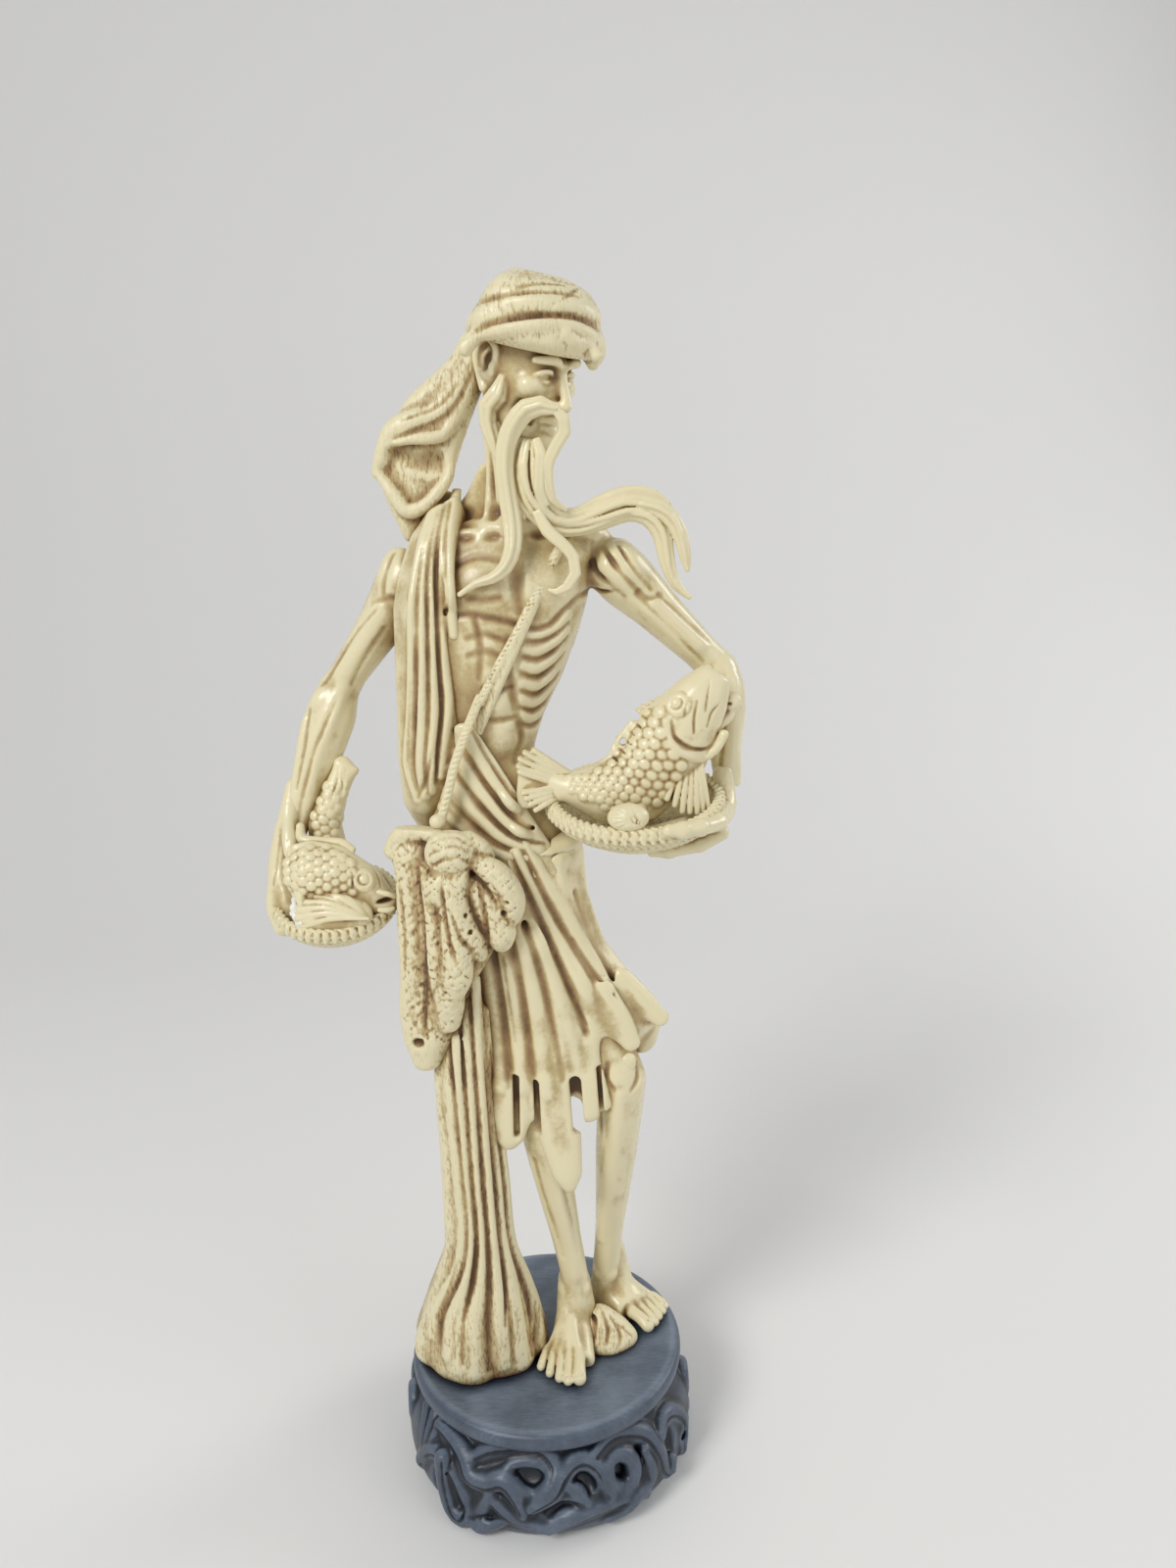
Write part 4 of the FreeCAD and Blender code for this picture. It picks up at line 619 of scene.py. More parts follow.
def make_body():
    clay = clay_of(["torso", "right_arm", "left_arm"], rise=44)
    # Neck, its tendons and the slope to the shoulders
    clay.stroke([(-3, 1.5, 322, 10), (-2.5, 1, 335, 8.2), (0, -1.5, 350, 6.9), (3, -4, 364, 6.8),
                 (5, -5, 374, 7)], blend=7)
    clay.stroke([(-8, 4, 350, 3), (-13, 4.5, 339, 4.5), (-24, 4.5, 330, 6)], blend=6)
    clay.stroke([(4, 3, 345, 3), (12, 4, 336, 4.5), (24, 4.5, 329, 6)], blend=6)
    for row in (
        [(-8.5, 370), (-7.5, 358), (-7.3, 346), (-8.5, 336)],
        [(-5.6, 360), (-4.6, 348), (-4.2, 338), (-4.6, 333)],
        [(4, 352), (3.6, 343), (2, 335)],
    ):
        clay.ridge(row, 1.5, 0.75, 1.2)
    clay.groove([(-7.2, 362), (-6.3, 350), (-6.2, 340), (-6.6, 334)], 1.0, 0.8, 1.0)
    # Collar bones and the pits over them
    clay.ridge([(-20, 333), (-14, 334.6), (-8, 334.2), (-4, 333)], 1.8, 0.9, 1.6)
    clay.ridge([(2, 333), (9, 333.5), (17, 332.5), (25, 331)], 1.8, 0.9, 1.6)
    for across in (-15.5, -7.2, 7.5, 15):
        clay.swell((across, 330.6), (3.0, 1.8, 1.8), 1.0, 1.0, cut=True)
        clay.swell((across, 338), (3.4, 2.4, 2.4), 1.2, 1.6, cut=True)
    # Breast
    clay.swell((-11, 317), (10, 8.5, 6), 1.7, 4)
    clay.swell((12, 316), (10, 8.5, 6), 1.7, 4)
    clay.groove([(0.5, 328), (0, 318), (0.5, 307)], 2.2, 0.8, 1.6)
    clay.groove([(-22, 306), (-15, 306.4), (-8, 305), (-2, 303.6), (2, 301.5), (6, 301), (10, 302),
                 (13, 305), (16, 308), (20, 311.5), (25, 313.5), (32, 313)], 1.3, 1.2, 1.2)
    clay.groove([(-19, 322), (-12, 324.5), (-5, 323)], 1.4, 0.4, 1.5)
    clay.groove([(-18, 313), (-12, 311), (-6, 311.5)], 1.2, 0.35, 1.5)
    # Ribs on the left side, and fainter ones beside the robe
    for low in ([(3, 297.6), (7, 297.4), (12, 299.5), (16, 303)],
                [(1.5, 292.4), (6, 291.6), (12, 294.6), (15.5, 298.5)],
                [(1, 287), (5.5, 285.8), (11, 289.2), (14, 293)],
                [(0.5, 281.4), (5, 280.2), (10, 283.6), (12.4, 287)],
                [(-0.5, 276), (4, 274.8), (8, 277.6), (10, 281)], [(-1, 271), (3, 269.8), (6.4, 272.4)]):
        clay.groove(low, 1.25, 1.25, 0.9)
        clay.ridge([(across, height + 2.6) for across, height in low], 1.5, 0.55, 1.0)
    for height in (299, 293.5):
        clay.groove([(-16.5, height), (-11, height + 1), (-5, height - 1)], 1.2, 0.5, 1.2)
    # Belly
    clay.swell((-9.5, 287), (4.6, 4.4, 3), 0.9, 1.6)
    clay.swell((-7.5, 277.5), (4.4, 4.6, 3), 1.0, 1.6)
    clay.swell((-6.5, 266), (4.8, 6, 3), 1.1, 1.8)
    clay.groove([(-3.6, 299), (-4, 290), (-3, 282), (-1, 273), (-0.4, 266), (-3, 258)], 1.7, 1.1, 1.2)
    clay.groove([(-14, 305), (-12.6, 296), (-13.6, 286)], 1.2, 0.6, 1.2)
    clay.groove([(-12, 282.6), (-7, 282), (-3, 283)], 1.0, 0.7, 0.9)
    clay.groove([(-12, 272.4), (-7, 272), (-2, 273)], 1.0, 0.7, 0.9)
    # Right arm
    clay.swell((-40, 320), (6.5, 10, 6), 1.2, 3.5, tilt=-14)
    clay.groove([(-36.5, 311.5), (-41, 312.5), (-46, 310.5)], 1.2, 0.9, 1.2)
    clay.groove([(-38, 327), (-41.6, 320), (-42.6, 314)], 1.3, 0.5, 1.3)
    clay.ridge([(-44, 308), (-51, 298), (-58, 289.5)], 3.2, 0.9, 2.5)
    clay.groove([(-45, 309), (-52, 302), (-58, 293.5), (-63, 286.5), (-68, 281)], 1.1, 0.8, 1.1)
    clay.groove([(-43, 303), (-49, 295), (-55, 285)], 1.0, 0.5, 1.1)
    clay.swell((-66, 281.5), (3.6, 4.4, 3), 1.0, 1.5, tilt=30)
    clay.ridge([(-58, 284), (-63, 274), (-68.4, 263), (-72, 252)], 2.6, 0.9, 1.8)
    clay.groove([(-59.6, 281), (-65, 271), (-69.4, 262), (-73.4, 250), (-76, 240)], 1.2, 1.3, 0.9)
    clay.ridge([(-71, 274), (-74, 262), (-77, 250), (-79, 240)], 1.6, 0.6, 1.3)
    clay.groove([(-69, 277), (-72, 264), (-75.4, 251)], 0.9, 0.6, 0.9)
    # Left arm
    clay.swell((35, 321), (7.5, 7, 6), 1.4, 3, tilt=40)
    clay.groove([(28, 326), (33, 318.5), (38.5, 312.5)], 1.2, 1.2, 1.0)
    clay.groove([(32, 327.5), (37, 320), (42.5, 313)], 1.1, 0.9, 1.0)
    clay.groove([(24, 322), (29, 315), (34, 311)], 1.2, 0.9, 1.2)
    clay.groove([(38.5, 312.4), (42, 309.5), (46, 311)], 1.2, 1.1, 1.0)
    clay.ridge([(44, 307), (50, 301), (57, 294)], 3.0, 0.9, 2.5)
    clay.groove([(38, 311), (45, 304), (52, 296.6), (59, 289.5)], 1.1, 0.8, 1.1)
    clay.groove([(45, 311), (54, 302.5), (61, 296)], 1.0, 0.6, 1.1)
    clay.swell((66, 287.5), (4, 4, 3.4), 0.9, 1.6)
    clay.ridge([(69, 284), (69.6, 272), (68.4, 258), (66.4, 246)], 2.2, 0.7, 1.6)
    clay.groove([(66.6, 276), (65.6, 265), (64.4, 252), (63.8, 244)], 1.0, 0.9, 1.0)
    # The back, as a plain lean back would be
    clay.groove([(-4, 326), (-6, 300), (-11, 275), (-13, 258)], 2.2, 1.2, 1.8, view="back")
    for across in (13, -20):
        clay.swell((across, 309), (8, 10, 5), 1.5, 3, view="back")
    for height in (296, 288, 280):
        clay.groove([(-1, height - 2), (7, height + 1), (14, height + 4)], 1.2, 0.7, 1.2, view="back")
    piece_from(clay, "body", ["torso", "right_arm", "left_arm"], SMOOTH_IVORY)


# The head


HEAD_MIDDLE = np.array((5.0, -6.0, 380.0))
HEAD_TURN = math.radians(50)
HEAD_BOW = math.radians(17)


def head_axes():
    """The head's side, front and up, as rows."""
    side = np.array((math.cos(HEAD_TURN), math.sin(HEAD_TURN), 0))
    ahead = np.array((math.sin(HEAD_TURN), -math.cos(HEAD_TURN), 0))
    up = np.array((0, 0, 1))
    front = ahead * math.cos(HEAD_BOW) - up * math.sin(HEAD_BOW)
    return np.array((side, front, up * math.cos(HEAD_BOW) + ahead * math.sin(HEAD_BOW)))


HEAD_AXES = head_axes()
# Strands of hair: how far they wander, how many waves they make, and how wide each is for its lock
HAIR_WANDER_SHARE = 0.2
HAIR_WAVES = 7
STRAND_WIDTH_SHARE = 1.5
LEAST_STRAND = 0.35
HAIR_BULGE = 0.8
HAIR_BLEND = 0.25


def on_head(*rows):
    """Places from rows of millimetres to the head's side, front and up; further columns stay."""
    rows = np.array(rows, dtype=float)
    return np.column_stack((HEAD_MIDDLE + rows[:, :3] @ HEAD_AXES, rows[:, 3:]))


def head_egg(clay, place, radii, blend=1.0, cut=False):
    clay.blob(on_head(place)[0], radii, HEAD_AXES, blend, cut)


def head_line(clay, rows, blend, cut=False):
    clay.stroke(on_head(*rows), blend=blend, cut=cut)


def lock_of_hair(clay, rows, strands, bulge=HAIR_BULGE):
    """Strands side by side along rows of across, height, depth and half width, bulging to the front."""
    rows = curve(spots(rows), 2.5)
    aside = np.cross(np.gradient(rows[:, :3], axis=0), (0, -1, 0))
    aside = aside / length_of(aside)
    half = rows[:, 3:4]
    inner = half * (1 - 1 / strands)
    for number in range(strands):
        share = 2 * number / (strands - 1) - 1
        wave = HAIR_WANDER_SHARE * np.sin(np.linspace(0, HAIR_WAVES, len(rows)) + 2.1 * number)[:, None]
        forward = half * bulge * math.cos(share * 1.4)
        girth = np.maximum(half * STRAND_WIDTH_SHARE / strands, LEAST_STRAND)
        place = rows[:, :3] + aside * inner * (share + wave)
        place[:, 1:2] -= forward
        clay.stroke(np.column_stack((place, girth)), blend=HAIR_BLEND, smooth=False)
        if strands > 2:
            # A wider strand behind closes the gaps of light
            place = rows[:, :3] + aside * inner * share
            place[:, 1:2] += girth * 0.5 - forward * 0.4
            clay.stroke(np.column_stack((place, girth * 1.45)), blend=HAIR_BLEND * 2, smooth=False)


def make_head():
    """A calm, lidded face in the usual proportions: eyes halfway, nose and mouth in even steps below."""
    clay = Clay((-16, -31, 348), (29, 16, 406), FINE_CELL)
    head_egg(clay, (0, -1.5, 4), (13.0, 16.0, 18))
    head_egg(clay, (0, 4.5, -6), (10.6, 11.6, 13), 5)
    head_line(clay, ((-9.6, 0, -10, 3.2), (-6.5, 8, -15.5, 3.2), (0, 12, -18.6, 3.6), (6.5, 8, -15.5, 3.2),
                     (9.6, 0, -10, 3.2)), 5)
    head_egg(clay, (0, 13.4, -18.6), (3.6, 2.8, 3), 2.5)
    for side in (-1, 1):
        head_egg(clay, (side * 7.6, 11, -3.6), (3.6, 3, 2.6), 3)
        head_egg(clay, (side * 5.2, 16.4, 0.4), (3.8, 2.6, 2.7), 1.6, cut=True)
        head_egg(clay, (side * 5.2, 12.0, 0.0), (2.7, 2.7, 2.2), 0.3)
        head_line(clay, ((side * 1.6, 15.8, 3.4, 1.0), (side * 4.6, 16.0, 4.6, 1.5),
                         (side * 9.2, 12.6, 3.8, 1.0)), 1.6)
        head_line(clay, ((side * 2.4, 13.9, 0.0, 0.5), (side * 4.2, 15.0, 1.2, 0.7),
                         (side * 6.4, 14.5, 1.0, 0.7), (side * 8.2, 12.4, -0.3, 0.5)), 0.5)
        head_line(clay, ((side * 2.7, 13.8, -0.9, 0.45), (side * 5.0, 14.5, -1.8, 0.6),
                         (side * 7.9, 12.4, -0.8, 0.45)), 0.5)
        head_egg(clay, (side * 2.1, 17.0, -8.0), (1.5, 1.9, 1.5), 0.9)
        head_egg(clay, (side * 1.2, 17.6, -9.6), (0.6, 0.9, 0.6), 0.4, cut=True)
        head_line(clay, ((side * 3.4, 15.9, -7.2, 0.8), (side * 5.8, 13.4, -11, 0.8),
                         (side * 6.2, 12, -14, 0.6)), 1.0, cut=True)
        head_egg(clay, (side * 7.6, 9.4, -11), (2.6, 1.8, 3.4), 2.2, cut=True)
    head_line(clay, ((0, 14.6, 4, 1.2), (0, 16.4, -0.5, 1.3), (0, 18.6, -5, 1.5), (0, 19.4, -7.4, 1.8)),
              1.6)
    head_line(clay, ((-3.6, 14.4, -12.6, 0.8), (0, 16.2, -12.2, 1.2), (3.6, 14.4, -12.6, 0.8)), 0.9)
    head_line(clay, ((-3.0, 14.2, -14.6, 0.8), (0, 15.8, -14.9, 1.2), (3.0, 14.2, -14.6, 0.8)), 0.9)
    head_line(clay, ((-4.0, 14.8, -13.3, 0.3), (0, 17, -13.6, 0.4), (4.0, 14.8, -13.3, 0.3)), 0.3, cut=True)
    for side in (-1, 1):
        make_ear(clay, side)
    # Hair in front of the ear, running down into the moustache
    lock_of_hair(clay, [(-1.5, 378, -17, 1.2), (-3.4, 373, -17, 2.2), (-6.6, 369.5, -15.5, 2.2),
                        (-6.8, 365, -14.5, 1.9), (-5, 359, -14.5, 1.6), (-3.8, 353, -14.5, 0.8)], 3)
    piece_from(clay, "head_carving", ["head"], SMOOTH_IVORY)


def make_ear(clay, side):
    head_egg(clay, (side * 12.4, -2.5, -0.5), (2.2, 4.0, 6.8), 1.2)
    head_line(clay, ((side * 12.6, 0.8, 0.5, 0.9), (side * 13.6, 0.6, 4.6, 1.1),
                     (side * 14.4, -2.4, 6.6, 1.2), (side * 14.6, -5.6, 4.6, 1.3),
                     (side * 14.2, -6.0, 0.5, 1.2), (side * 13.4, -4.4, -4.0, 1.1),
                     (side * 13.0, -2.0, -7.0, 1.7)), 0.6)
    head_egg(clay, (side * 14.4, -2.4, 1.2), (1.8, 2.4, 3.9), 0.6, cut=True)
    head_line(clay, ((side * 13.4, 0.3, -2.6, 0.9), (side * 13.6, 0.2, -0.6, 0.9)), 0.6)
    head_line(clay, ((side * 13.4, -2.2, 3.8, 0.6), (side * 13.5, -3.8, 1.0, 0.7),
                     (side * 13.2, -3.0, -2.6, 0.7)), 0.6)


def make_hat():
    clay = clay_of(["hat"], grow=0.3)
    clay.ridge([(-13.2, 386), (-11, 388.6), (-8, 390.4), (-3, 391.6), (3, 392.4), (10, 393), (16, 393.2),
                (21, 392), (25.5, 389.5)], 2.2, 1.5, 1.2)
    clay.groove([(-12.4, 390), (-8, 392.2), (-3, 394), (3, 395), (10, 395.6), (15, 395.6), (20, 395),
                 (25, 393), (28, 390)], 1.2, 1.5, 1.4)
    clay.ridge([(-8, 396), (-2, 398.4), (6, 399), (15, 399), (22, 397.6), (27.5, 394)], 3.0, 0.9, 2.5)
    clay.groove([(-6, 400), (0, 401.6), (10, 402.2), (17, 401.6), (22, 400.6)], 1.0, 0.7, 1.2)
    clay.ridge([(18, 390), (21, 387.4), (25, 386.4), (27.5, 383)], 1.8, 1.2, 1.0)
    clay.roll([(12, 392.4, -20, 2.4), (19, 391.4, -18.6, 3.2), (24.4, 388.4, -14, 3.4),
               (27, 384.4, -10, 2.8), (26, 381, -9, 1.8)], 3)
    clay.groove([(14, 398.4), (18, 400.2), (22, 402.6)], 0.7, 0.5, 0.8)
    clay.groove([(4, 403.4), (10, 404.4), (18, 403.6)], 0.8, 0.4, 0.8)
    clay.trim((-24, -34, 384), (10, 24, 412), lambda x, y, z: (x + 13) * 0.788 - (z - 389.5) * 0.616, 4)
    piece_from(clay, "hat_felt", ["hat"], ROUGH_IVORY)


def make_hat_tail():
    clay = clay_of(["hat_tail"], grow=0.3)
    # The rolled upper band, the deep hollow below it and the pale flap at the bottom
    clay.roll([(-9, 384, 0, 2.6), (-13.5, 377, 0, 3.4), (-18.5, 370.5, -0.5, 4), (-24, 366.4, -1, 4.4),
               (-30, 365, -1.5, 4.6), (-36, 362.6, -1.5, 3.8), (-40.4, 355, -0.5, 2.4),
               (-42.6, 350.6, 0.5, 1.2)], 2)
    clay.roll([(-17, 366, -3, 1.6), (-21, 361.8, -4, 1.8), (-26, 360.8, -4.5, 1.9), (-32, 360.6, -4.4, 1.8),
               (-37, 358.4, -3.6, 1.4)], 1.2)
    clay.roll([(-36, 356, -4.4, 3.0), (-30, 354, -5.2, 4.4), (-24, 353.4, -5, 4.4),
               (-20.6, 352, -4.6, 2.6)], 1.5, cut=True)
    clay.roll([(-37, 351, -4, 1.6), (-30, 348, -4.6, 2.6), (-23, 347, -4.6, 2.6)], 1.5, cut=True)
    clay.roll([(-41.4, 350.6, 0, 1.4), (-37, 344, -1, 2.2), (-33.4, 339.4, -1.4, 2.4),
               (-28, 340.4, -2, 2.2), (-23, 345, -2, 2), (-19.6, 349.6, -1.6, 1.6), (-18.4, 356, -1, 1.4),
               (-15.4, 362.6, -0.4, 1.6)], 1.6)
    clay.groove([(-11.5, 379), (-16, 371), (-22, 366), (-29, 363.6), (-36, 360.6)], 0.9, 1.0, 0.9)
    clay.groove([(-16, 376), (-21, 370.6), (-28, 368), (-33, 366.4)], 0.7, 0.5, 0.8)
    piece_from(clay, "hat_tail_felt", ["hat_tail"], ROUGH_IVORY)


def make_hair():
    """The wind-blown beard, its curl and the two moustaches."""
    clay = Clay((-4, -24, 304), (62, 8, 366), FINE_CELL)
    lock_of_hair(clay, [(5.5, 359, -15, 3.0), (4.6, 352, -14.5, 4.6), (5.4, 345, -14, 4.6),
                        (8, 339.5, -13, 4.2), (13, 335, -11, 3.8), (20, 334.4, -9.5, 3.7),
                        (28, 337, -8.5, 4.3), (35, 339.4, -8, 4.6), (41, 338.8, -7.6, 4.2),
                        (45.4, 336.4, -7.4, 3.0), (47.6, 334, -7.4, 1.6)], 7, bulge=0.6)
    lock_of_hair(clay, [(24, 338.4, -9, 1.0), (31, 341.4, -8.6, 1.7), (38, 342.8, -8, 1.8),
                        (44.6, 341.6, -7.6, 1.4), (49, 339.2, -7.4, 0.6)], 2)
    lock_of_hair(clay, [(40, 339.6, -9.6, 1.6), (46, 337.6, -9.8, 2.0), (50.4, 333.4, -9.6, 1.9),
                        (52.6, 328, -9.2, 1.6), (53.8, 322.6, -8.8, 1.3), (54.4, 318.6, -8.4, 0.6)], 3)
    lock_of_hair(clay, [(36, 337, -8.4, 1.8), (42, 335.6, -8.4, 2.2), (46, 331, -8.2, 2.2),
                        (47.4, 325, -8, 2.0), (48.6, 319, -8, 1.6), (51, 313.6, -7.6, 1.2),
                        (55, 310, -7.4, 0.5)], 3)
    lock_of_hair(clay, [(8, 359.4, -18, 1.0), (9.2, 355, -18.4, 1.5), (8.6, 350, -18, 1.5),
                        (8.2, 345, -17, 1.3), (10.6, 340, -15.4, 0.8)], 2)
    piece_from(clay, "beard_plume_hair", ["beard_plume"], HAIR_IVORY)
    clay = Clay((2, -24, 306), (24, 4, 344), FINE_CELL)
    lock_of_hair(clay, [(7.4, 337.6, -15.6, 1.2), (10.4, 332, -16, 1.7), (14.6, 328, -16.5, 1.6),
                        (18.2, 323.6, -16.5, 1.4), (18.8, 318.6, -16.8, 1.3), (16, 314.4, -16.8, 1.1),
                        (12.6, 312.8, -16.5, 0.8), (10, 313.6, -16, 0.4)], 2)
    piece_from(clay, "beard_curl_hair", ["beard_curl"], HAIR_IVORY)
    clay = Clay((-24, -30, 308), (20, 4, 378), FINE_CELL)
    lock_of_hair(clay, [(14, 368.4, -23, 1.2), (9.6, 369.6, -22, 2.0), (5, 368.4, -20.5, 2.3),
                        (1, 364, -19, 2.3), (-1.6, 358, -17.6, 2.1), (-2.4, 350, -17, 2.0),
                        (-1.6, 342, -16.6, 2.0), (-0.6, 334, -17, 2.1), (-0.8, 327, -18.6, 1.9),
                        (-3.4, 321, -19.4, 1.6), (-8, 317.6, -19.8, 1.2), (-13, 316.2, -19.6, 0.9),
                        (-18.4, 312.8, -19, 0.4)], 3)
    piece_from(clay, "right_moustache_hair", ["right_moustache"], HAIR_IVORY)
    clay = Clay((6, -30, 330), (24, 4, 374), FINE_CELL)
    lock_of_hair(clay, [(14.4, 367.8, -23, 1.0), (16.6, 365.6, -22.6, 1.5), (16.8, 361.6, -21.5, 1.6),
                        (14, 357.6, -20, 1.6), (11.6, 353.4, -18.6, 1.5), (11, 347.6, -17.4, 1.3),
                        (12.4, 341.6, -15.6, 1.0), (16.6, 338, -13.4, 0.5)], 2)
    piece_from(clay, "left_moustache_hair", ["left_moustache"], HAIR_IVORY)


make_body()
make_head()
make_hat()
make_hat_tail()
make_hair()


# The dress


def between_lines(one, other):
    """The line midway between two lines of as many readings."""
    return [((a[0] + b[0]) / 2, (a[1] + b[1]) / 2) for a, b in zip(one, other)]


def pleat(clay, lines, ridge_size, groove_size, blend=1.0):
    """Raise a fold along each line and cut a valley between each two."""
    for line in lines:
        clay.ridge(line, ridge_size[0], ridge_size[1], blend)
    for one, other in zip(lines, lines[1:]):
        clay.groove(between_lines(one, other), groove_size[0], groove_size[1], blend)


def make_robe():
    clay = clay_of(["shoulder_robe"])
    clay.roll([(-17.4, 345, 2, 1.4), (-19, 338, -4, 2.2), (-20.4, 331, -9, 2.4), (-21.6, 322, -14, 2.2),
               (-21.4, 312, -15, 2.0), (-20.8, 300, -15.6, 1.4)], 2)
    clay.roll([(-21, 343, 4, 2.2), (-24, 336.6, -2, 3), (-27, 329, -8, 3), (-29, 320, -12, 2.6)], 2.5)
    pleat(clay, [[(-26, 338), (-29.6, 329), (-32, 319), (-34, 309), (-35.4, 290), (-37, 272), (-38.6, 258),
                  (-36, 246)],
                 [(-24.4, 339), (-27.4, 330), (-29.4, 320), (-30.4, 309), (-31.4, 290), (-33, 272),
                  (-34.4, 258), (-33.4, 247)],
                 [(-22.6, 340), (-25.2, 331), (-26.8, 320), (-27.4, 309), (-28, 290), (-28.6, 274),
                  (-30.6, 260), (-31, 249)],
                 [(-20.6, 341), (-22.8, 332), (-24, 321), (-24.4, 309), (-24.4, 293), (-23.6, 279),
                  (-25.6, 266), (-28, 254)],
                 [(-18.4, 342), (-20.4, 332), (-21.2, 322), (-21.2, 309), (-20.6, 296), (-18.2, 283),
                  (-18.6, 272), (-22, 262)]], (1.7, 1.0), (0.8, 1.3), 0.8)
    for line in ([(-36, 285), (-37.6, 270), (-39, 256)], [(-30, 262), (-33, 252), (-36, 246.6)],
                 [(-33.4, 300), (-34, 285), (-35.4, 270)]):
        clay.groove(line, 0.7, 0.6, 0.8)
    for across in (-34, -28, -22):
        clay.groove([(across + 2, 325), (across, 300), (across - 1, 270), (across + 2, 248)], 1.2, 1.0, 1.2,
                    view="back")
    clay.groove([(-8, 318), (-3, 300), (0, 280), (2, 262)], 1.2, 0.9, 1.2, view="left")
    piece_from(clay, "shoulder_robe_cloth", ["shoulder_robe"], SMOOTH_IVORY)


def make_wrap():
    clay = clay_of(["waist_wrap"])
    pleat(clay, [
        [(-15, 272), (-10.4, 262), (-5.6, 253.6), (-1, 247), (4, 242.6), (10, 239.6)],
        [(-18.6, 267), (-13.6, 257.6), (-8.4, 249), (-3, 242), (3, 238), (10, 236.4)],
        [(-21.6, 260), (-16.6, 251), (-11.4, 243.6), (-6, 237), (0, 233), (8, 231.6)],
        [(-24.4, 252), (-19.6, 244.4), (-14.4, 238), (-9, 232.6), (-3, 229.4), (4, 228)],
        [(-28, 243), (-23, 237), (-17, 231.6), (-12, 228), (-7, 226), (-1, 225.4)],
    ], (1.9, 1.1), (0.8, 1.3), 0.8)
    clay.ridge([(-16, 276), (-12, 267), (-7, 257.6), (-2.4, 250), (2.6, 244.6), (9, 241)], 1.3, 1.3, 0.6)
    for height in (262, 248, 234):
        clay.groove([(-26, height + 3), (-10, height), (6, height - 5)], 1.2, 0.9, 1.2, view="back")
    piece_from(clay, "waist_wrap_cloth", ["waist_wrap"], SMOOTH_IVORY)
    clay = clay_of(["sash"], soften=0.6, grow=0.3)
    clay.ridge([(-14, 226.6), (-8, 226.4), (-4, 226.4), (0, 227.2), (5, 230), (9, 233.4), (13, 238)], 2.2,
               1.0, 1.2)
    clay.groove([(-14, 227.4), (-8, 226.4), (-4, 226), (0, 227), (5, 229.4), (9, 232.4), (13, 236.6)], 0.6,
                0.7, 0.6)
    piece_from(clay, "sash_cloth", ["sash"], SMOOTH_IVORY)
    clay = clay_of(["shoulder_cord"], FINE_CELL, soften=0.5, grow=0.2)
    path = [(14.4, 327.4), (11, 321), (7.6, 315), (4, 309), (0, 302.6), (-4, 296), (-8, 289.6), (-11, 284),
            (-14, 278.4)]
    clay.ridge(path, 1.5, 0.7, 0.6)
    for start, end in zip(path, path[1:]):
        for share in (0, 0.25, 0.5, 0.75):
            across, height = np.array(start) * (1 - share) + np.array(end) * share
            turn = [(across - 1.6, height - 0.4), (across, height), (across + 1.6, height + 0.4)]
            clay.groove(turn, 0.35, 0.4, 0.2)
    piece_from(clay, "shoulder_cord_twist", ["shoulder_cord"], ROUGH_IVORY)


def make_lower_cord():
    """The cord's lower run, which lies over the robe and ends in a knot at the hip."""
    clay = Clay((-38, -30, 230), (-8, 0, 286), FINE_CELL)
    rows = spots([(-13.6, 279.4, -16.4, 1.5), (-17, 272, -18.6, 1.5), (-20.4, 264, -20, 1.5),
                  (-23.4, 256, -20.6, 1.5), (-25.6, 248, -20.4, 1.5), (-28, 240, -20.4, 1.5)])
    clay.stroke(rows, blend=0.6)
    for place in curve(rows, 1.6):
        clay.stroke([place[:3] + (-1.6, -1.3, -0.5), place[:3] + (1.6, -1.3, 0.5)], 0.35, 0.2, cut=True,
                    smooth=False)
    clay.blob(spot(-29.6, 238.4, -21.6), (2.6, 2.4, 2.4), blend=0.6)
    piece_from(clay, "cord_end", [], ROUGH_IVORY)


def hang_tongues(clay):
    """The torn hem: rounded tongues of cloth that hang at the depth of the skirt above them."""
    for readings, girths in (
        ([(6.6, 147), (7.4, 139), (8.4, 130), (9.2, 121), (9.7, 113)], (3.4, 3.8, 3.4, 2.4, 1.4)),
        ([(24.4, 157), (25.4, 149), (25.8, 140)], (3.0, 3.0, 2.6)),
        ([(18.4, 157), (19.2, 148), (19.6, 140.6)], (3.0, 2.9, 2.4)),
        ([(-3.2, 146), (-3.6, 139), (-3.6, 131)], (3.4, 3.0, 1.6)),
        ([(-10.8, 146), (-11.8, 139), (-12.4, 132.6)], (3.0, 2.4, 1.2)),
        ([(30, 180), (37, 172.6), (43.6, 165.8)], (4.6, 4.2, 3.2)),
        ([(24, 176), (29, 166), (33.6, 156.8)], (4.2, 4.0, 3.0)),
    ):
        depth = clay.lay([readings[0]])[0][1] + (-0.6 if readings[0][0] > 15 else 2.0)
        clay.stroke([spot(*reading, depth) for reading in readings], girths, 2.0, flat=0.5)
    for readings, girth in (
        ([(-0.4, 142), (-0.2, 122)], 1.0),
        ([(-7.4, 144), (-8.0, 122)], 1.1),
        ([(13.4, 142), (14.2, 124)], 2.0),
        ([(21.8, 147), (22.8, 124)], 0.8),
    ):
        depth = clay.lay([readings[0]])[0][1]
        clay.stroke([spot(*reading, depth) for reading in readings], girth, 0.8, cut=True, flat=6.0)


